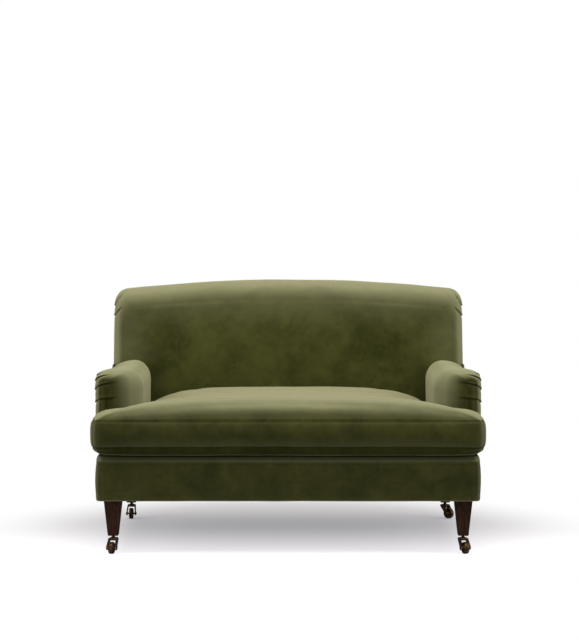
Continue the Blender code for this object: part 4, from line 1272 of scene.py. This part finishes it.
def round_plan(x, y):
    """Rounds the convex corners of the T, and draws its long sides in between them."""
    x = beside_arm(x, y)
    sign = math.copysign(1, x)
    for corner_x, corner_y in (
        (sign * cushion_half, cushion_front), (sign * cushion_half, wing_rear),
        (sign * cushion_inner_half, cushion_rear),
    ):
        if abs(x) <= cushion_inner_half and abs(corner_x) > cushion_inner_half:
            continue
        inward = 1 if corner_y == cushion_front else -1
        dx = x - (corner_x - sign * cushion_corner)
        dy = y - (corner_y + inward * cushion_corner)
        if dx * sign > 0 and dy * inward < 0:
            shrink = max(abs(dx), abs(dy)) / math.hypot(dx, dy)
            x = corner_x - sign * cushion_corner + dx * shrink
            y = corner_y + inward * cushion_corner + dy * shrink
    middle = (cushion_front + cushion_rear) / 2
    reach = (y - middle) / (cushion_rear - middle)
    y -= side_draw * (1 - (x / cushion_half) ** 2) * reach * abs(reach)
    return x, y


# The grid's lines stand close together before each seam.
edge_steps = (0.023, 0.015, 0.008, 0.003, 0)
edge_band = 0.033
rim_levels = (0, 0.035, 0.09, 0.2, 0.35, 0.5, 0.65, 0.8, 0.91, 0.965, 1)


def lines_to(start, end, steps):
    """Even lines after the start, and then the close ones before a seam at the end."""
    return spread((start, end - edge_band, steps))[1:] + [end - step for step in edge_steps]


right_lines = [0, *lines_to(0, cushion_inner_half, 34)]
right_lines += lines_to(cushion_inner_half, cushion_half, 10)
cushion_xs = [-x for x in reversed(right_lines[1:])] + right_lines
cushion_ys = [cushion_front + step for step in reversed(edge_steps)]
cushion_ys += lines_to(cushion_ys[-1], wing_rear, 9)
arm_turns = [math.pi / 2 * i / 13 for i in range(1, 14)]
cushion_ys += [arm_front + front_inner_depth * (1 - math.cos(turn)) for turn in arm_turns]
cushion_ys += lines_to(arm_front + front_inner_depth, cushion_rear, 21)
cushion_mesh = draped_grid(cushion_xs, cushion_ys, lambda u, v: Vector((u, v, 0)))
beside_arms = [
    f for f in cushion_mesh.faces
    if abs(f.calc_center_median().x) > cushion_inner_half and f.calc_center_median().y > wing_rear
]
bmesh.ops.delete(cushion_mesh, geom=beside_arms, context="FACES")
pushed = bmesh.ops.extrude_face_region(cushion_mesh, geom=cushion_mesh.faces[:])["geom"]
upper = [part for part in pushed if isinstance(part, bmesh.types.BMVert)]
bmesh.ops.translate(cushion_mesh, vec=(0, 0, 1), verts=upper)
upright = [e for e in cushion_mesh.edges if abs(e.verts[0].co.z - e.verts[1].co.z) > 0.5]
bmesh.ops.subdivide_edges(cushion_mesh, edges=upright, cuts=len(rim_levels) - 2, use_grid_fill=True)
sort_by_place(cushion_mesh)
rim = {(round(v.co.x, 5), round(v.co.y, 5)) for v in cushion_mesh.verts if 0.05 < v.co.z < 0.95}
seam_verts = []
cushion_mesh.normal_update()
for vert in cushion_mesh.verts:
    level = rim_levels[round(vert.co.z * (len(rim_levels) - 1))]
    x, y = round_plan(vert.co.x, vert.co.y)
    if (round(vert.co.x, 5), round(vert.co.y, 5)) in rim:
        on_seam = level in (0, 1)
        bulge = -seam_depth if on_seam else boxing_bulge * (1 - abs(2 * level - 1) ** 4)
        outwards = Vector((vert.normal.x, vert.normal.y, 0))
        outwards = outwards.normalized() if outwards.length > 0.1 else outwards
        vert.co = Vector((x, y, bottom_seam + (top_seam - bottom_seam) * level)) + outwards * bulge
        if on_seam:
            seam_verts.append(vert)
    elif level > 0.5:
        crown = swell_at(vert.co.x, vert.co.y, wing_crown, main_crown, 4)
        vert.co = Vector((x, y, top_seam + crown))
    else:
        drop = bottom_seam - cushion_underside
        crown = min(drop, swell_at(vert.co.x, vert.co.y, drop, drop, 22))
        vert.co = Vector((x, y, bottom_seam - crown))
cushion_mesh.verts.index_update()
seam_indices = [vert.index for vert in seam_verts]
cushion = add_piece("seat_cushion", cushion_mesh, velvet)
point_count = len(cushion.data.vertices)
print("cushion block:", point_count, "points,", len(seam_indices), "on the seams")


# %% Filling the cushion
def fill_with_pressure(piece, held, pressure, steps, cap):
    """Blows a closed piece up as cloth, with some points held, and keeps every point within cap of
    its start."""
    start = [vert.co.copy() for vert in piece.data.vertices]
    group = piece.vertex_groups.new(name="held")
    group.add(held, 1.0, "REPLACE")
    cloth = piece.modifiers.new("cloth", "CLOTH")
    cloth.settings.use_pressure = True
    cloth.settings.uniform_pressure_force = pressure
    cloth.settings.vertex_group_mass = "held"
    cloth.settings.effector_weights.gravity = 0
    cloth.settings.tension_stiffness = 18
    cloth.settings.compression_stiffness = 12
    cloth.settings.shear_stiffness = 8
    cloth.settings.bending_stiffness = 0.8
    cloth.settings.quality = 5
    cloth.collision_settings.use_collision = False
    for step in range(1, steps + 1):
        scene.frame_set(step)
    bake_modifiers(piece)
    piece.vertex_groups.clear()
    moved = 0.0
    for vert, first in zip(piece.data.vertices, start):
        shift = vert.co - first
        if shift.length > cap:
            vert.co = first + shift.normalized() * cap
        moved = max(moved, min(shift.length, cap))
    scene.frame_set(1)
    print(f"{piece.name}: the filling moved it by up to {moved * 1000:.1f} mm")


filling_pressure, filling_steps, filling_cap = 2.5, 14, 0.006
underside = [v.index for v in cushion.data.vertices if v.co.z < cushion_underside + 0.004]
held = seam_indices + underside
fill_with_pressure(cushion, held, filling_pressure, filling_steps, filling_cap)
subdivide(cushion)


def corner_seam(point):
    """The boxing is joined by an upright seam at each front corner of the cushion."""
    if not bottom_seam < point.z < top_seam:
        return 0.0
    dx = abs(point.x) - (cushion_half - cushion_corner)
    dy = cushion_front + cushion_corner - point.y
    if dx <= 0 or dy <= 0:
        return 0.0
    from_seam = math.hypot(dx, dy) * (math.atan2(dy, dx) - math.pi / 4)
    return -0.0016 * hump(from_seam, 0, 0.0030)


def cushion_seams_and_painted_light(point):
    """Pressed pile and painted shade in the seams, painted shade underneath, darker at the ends,
    and paler on top by the front edge.
    """
    x, y = abs(point.x), point.y
    if point.z < bottom_seam - 0.010:
        return 0.3
    inside = min(cushion_half - x, y - cushion_front, cushion_rear - y)
    inside = min(inside, max(cushion_inner_half - x, wing_rear - y))
    if point.z > top_seam + 0.006:
        return -0.14 * (1 - smooth_step(y, cushion_front + 0.03, cushion_front + 0.12))
    if inside > 0.012:
        return 0.0
    top = hump(point.z, top_seam, 0.0034)
    bottom = hump(point.z, bottom_seam, 0.0042)
    at_end = smooth_step(x, 0.630, 0.655)
    return min(1.0, 0.36 * top + 0.4 * bottom - 0.03 + 0.22 * at_end)


zip_low, zip_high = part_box("cushion_zip")
pull_drop_slope = 0.13
zip_side_slope = 0.45


def zip_seat_y(point):
    """How far back the boxing may reach: it is drawn in along the zip, and less below it, where the
    slider's pull hangs."""
    above = max(0.0, point.z - zip_high.z - 0.001)
    below = max(0.0, zip_low.z - 0.001 - point.z)
    beside = max(0.0, abs(point.x) - zip_high.x - 0.002)
    return zip_low.y + 0.0018 + zip_side_slope * math.hypot(above, beside) + pull_drop_slope * below


push_out(cushion, corner_seam)
paint_nap_and_light(cushion, cushion_seams_and_painted_light)
for vert in cushion.data.vertices:
    vert.co.z = max(vert.co.z, deck_top + 0.0008)
crush(cushion, 0.0016, 0.15, 41.0)
for vert in cushion.data.vertices:
    vert.co.y = min(vert.co.y, zip_seat_y(vert.co))
dress(cushion, "cushion", "velvet", "cushion_cover", "cushion_core", fill=0.7)

# %% [markdown]
# ## The zip
#
# The cushion's cover comes off through a zip across its rear. A twill tape lies in the boxing, and
# two rows of small brass teeth lock along its middle. One tooth is a small block, repeated. The
# slider is a body that rides on the teeth, with a flat pull that hangs from it.


# %% The zip
def add_block(bm, middle, size):
    place = Matrix.Translation(middle) @ Matrix.Diagonal((*size, 1))
    bmesh.ops.create_cube(bm, size=1, matrix=place)


def round_edges(bm, width):
    bmesh.ops.bevel(
        bm, geom=bm.edges[:], offset=width, segments=2, profile=0.5, affect="EDGES", material=-1
    )


zip_mesh = bmesh.new()
add_block(zip_mesh, (zip_low + zip_high) / 2, zip_high - zip_low)
round_edges(zip_mesh, 0.0008)
tape = add_piece("zip_tape", zip_mesh, zip_twill)
dress(tape, "cushion", "zip_tape", "cushion_zip")

tooth_count, tooth_size, tooth_shift = 300, (0.0015, 0.0008, 0.0036), 0.0007
zip_middle = (zip_low.z + zip_high.z) / 2
teeth_mesh = bmesh.new()
for number in range(tooth_count):
    x = zip_low.x + 0.004 + (zip_high.x - zip_low.x - 0.008) * number / (tooth_count - 1)
    shift = tooth_shift if number % 2 else -tooth_shift
    add_block(teeth_mesh, (x, zip_high.y, zip_middle + shift), tooth_size)
teeth = add_piece("zip_teeth", teeth_mesh, antique_brass, smooth=False)
dress(teeth, "cushion", "antique_brass")

slider_low, slider_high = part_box("zip_slider")
slider_middle = (slider_low + slider_high) / 2
slider_size = slider_high - slider_low
pull_width, pull_thickness, pull_length = 0.0055, 0.0012, zip_middle - slider_low.z
pull_middle = (
    slider_middle.x, slider_high.y - pull_thickness / 2, zip_middle - pull_length / 2
)
slider_mesh = bmesh.new()
body_middle = (slider_middle.x, slider_middle.y, zip_middle)
add_block(slider_mesh, body_middle, (slider_size.x, slider_size.y, 0.009))
add_block(slider_mesh, pull_middle, (pull_width, pull_thickness, pull_length))
round_edges(slider_mesh, 0.0004)
slider = add_piece("zip_pull", slider_mesh, antique_brass)
dress(slider, "zip_slider", "antique_brass", "zip_slider")

# %% [markdown]
# ## The casters
#
# Each leg stands on a small brass swivel caster. The stem is a turned piece that plugs into the
# leg. The fork is a strap bent into an arch over the wheel, and it trails behind the stem, so that
# the wheel follows the sofa. The wheel turns on an axle with riveted heads. Turned pieces are
# profiles spun about their axis.


# %% Turned pieces
def spun(profile, steps, place):
    """A closed turned piece from (radius, height) points, set in place by a matrix."""
    bm = bmesh.new()
    points = [bm.verts.new((radius, 0, height)) for radius, height in profile]
    pairs = list(zip(points, points[1:]))
    if profile[0][0] > 0:
        pairs.append((points[-1], points[0]))
    edges = [bm.edges.new(pair) for pair in pairs]
    bmesh.ops.spin(
        bm, geom=points + edges, axis=(0, 0, 1), cent=(0, 0, 0), angle=2 * math.pi, steps=steps,
        use_merge=True,
    )
    bmesh.ops.remove_doubles(bm, verts=bm.verts, dist=0.00001)
    sort_by_place(bm)
    bmesh.ops.transform(bm, matrix=place, verts=bm.verts)
    return bm


def arc_points(radius_centre, height_centre, size, start, end, steps):
    """Profile points round an arc, angles in degrees from the outward direction."""
    turns = [math.radians(start + (end - start) * i / steps) for i in range(steps + 1)]
    return [(radius_centre + size * math.cos(t), height_centre + size * math.sin(t)) for t in turns]


# %% The casters' profiles
stem_profile = [(0, 0.086), (0.0035, 0.086), (0.004, 0.0855), (0.004, 0.0600)]
stem_profile += arc_points(0.0075, 0.0588, 0.0010, 90, -90, 5)
stem_profile += [(0.0052, 0.0572), (0.0046, 0.0558), (0.0052, 0.0545)]
stem_profile += arc_points(0.0070, 0.0534, 0.0010, 60, -90, 5)
stem_profile += [(0.0034, 0.0524), (0.0034, 0.0491), (0.0058, 0.0491)]
stem_profile += arc_points(0.0042, 0.0483, 0.0018, 20, -80, 5) + [(0, 0.0463)]
wheel_profile = [
    (0.00335, 0.009), (0.0070, 0.009), (0.0075, 0.0085), (0.0078, 0.0048), (0.0090, 0.0040),
    (0.0140, 0.0040), (0.0152, 0.0050), (0.0156, 0.0068), (0.0164, 0.0075), (0.0182, 0.0075),
    (0.0193, 0.0069), (0.0198, 0.0055), (0.0200, 0.0035), (0.0200, 0),
]
wheel_profile += [(radius, -height) for radius, height in reversed(wheel_profile[:-1])]
axle_profile = [(0, 0.0205), (0.0022, 0.0203), (0.0040, 0.0195), (0.0045, 0.0184), (0.003, 0.0183)]
axle_profile += [(radius, -height) for radius, height in reversed(axle_profile)]
cap_profile = [
    (0.0042, 0.0497), (0.0042, 0.0520), (0.0086, 0.0521), (0.0112, 0.0512), (0.0130, 0.0492),
    (0.0137, 0.0465), (0.0137, 0.0440), (0.0122, 0.0440), (0.0120, 0.0470), (0.0104, 0.0492),
]
profiles = {"stem": stem_profile, "wheel": wheel_profile, "axle": axle_profile, "cap": cap_profile}
print("profile points:", {part: len(profile) for part, profile in profiles.items()})

# %% The fork's strap
trail = 0.018
fork_crown = 0.052
crown_half, fork_half = 0.015, 0.018
crown_flat, crown_bend = crown_half * 0.72, crown_half * 0.28
strap_half, strap_taper, strap_thickness = 0.0115, 0.004, 0.0042
arm_end_z, end_round_start = 0.0125, 0.78


def place_on_fork(u, v):
    """u runs across the strap's width, v from one arm's end over the crown to the other."""
    side = -1 if v < 0 else 1
    v = abs(v)
    centre, half_depth = 0.0, strap_half
    if v < 0.25:
        x, z = crown_flat * v / 0.25, fork_crown
    elif v < 0.5:
        turn = (v - 0.25) / 0.25 * math.pi / 2
        x = crown_flat + crown_bend * math.sin(turn)
        z = fork_crown - crown_bend * (1 - math.cos(turn))
    else:
        share = (v - 0.5) / 0.5
        top = fork_crown - crown_bend
        x = crown_half + (fork_half - crown_half) * min(1, share / 0.7)
        z = top - (top - arm_end_z) * share
        centre = -trail * smooth_step(share, -0.1, end_round_start)
        half_depth -= strap_taper * smooth_step(share, 0, 0.75)
        round_end = max(0.0, (share - end_round_start) / (1 - end_round_start))
        half_depth *= math.sqrt(max(0.05, 1 - round_end**2 * 0.9))
    return Vector((side * x, centre + half_depth * u, z))


arm_lines = spread((0, 0.25, 3), (0.25, 0.5, 6), (0.5, 0.89, 9), (0.89, 1, 6))
fork_lines = [-v for v in reversed(arm_lines[1:])] + arm_lines


def add_fork(corner, place):
    """Bends the strap, sets it in place, and gives it its thickness and rounded edges."""
    fork_mesh = draped_grid(spread((-1, 1, 6)), fork_lines, place_on_fork)
    bmesh.ops.transform(fork_mesh, matrix=place, verts=fork_mesh.verts)
    fork = add_piece(f"{corner}_fork", fork_mesh, antique_brass)
    give_thickness(fork, strap_thickness)
    rounding = fork.modifiers.new("rounded edges", "BEVEL")
    rounding.width = 0.0005
    rounding.segments = 2
    bake_modifiers(fork)
    dress(fork, f"{corner}_fork", "antique_brass", f"{corner}_caster_fork")


# %% The casters
def add_turned(corner, part, steps, place, body, *nodes):
    """Adds a turned brass piece of one corner's caster."""
    piece = add_piece(f"{corner}_{part}", spun(profiles[part], steps, place), antique_brass)
    dress(piece, body, "antique_brass", *nodes)


wheel_radius = 0.020
rear_stem_y = 0.365
# Each corner's stem has its X, its Y, and the way that its caster looks, in degrees.
casters = {
    "front_left": (-leg_x, front_leg_y, -12.8), "front_right": (leg_x, front_leg_y, 19.5),
    "rear_left": (-leg_x, rear_stem_y, 0.0), "rear_right": (leg_x, rear_stem_y, 46.2),
}
for corner, (stem_x, stem_y, yaw) in casters.items():
    upright = Matrix.Translation((stem_x, stem_y, 0))
    turned = upright @ Matrix.Rotation(math.radians(yaw), 4, "Z")
    on_axle = turned @ Matrix.Translation((0, -trail, wheel_radius))
    on_axle = on_axle @ Matrix.Rotation(math.pi / 2, 4, "Y")
    swivel, roll, caster = f"{corner}_fork", f"{corner}_wheel", f"{corner}_caster"
    add_turned(corner, "stem", 32, upright, "carcass", f"{caster}_stem")
    add_fork(corner, turned)
    add_turned(corner, "cap", 32, upright, swivel)
    add_turned(corner, "axle", 24, on_axle, swivel, f"{caster}_axle")
    add_turned(corner, "wheel", 48, on_axle, roll, f"{caster}_wheel")

# %% [markdown]
# ## The dressed sofa's size
#
# Upholstery may stand a little proud of the imported solids, and no more. The dressed sofa's box
# is printed.

# %% Size and finish
low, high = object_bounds()
print("dressed sofa:", [round(a, 4) for a in low], [round(a, 4) for a in high])
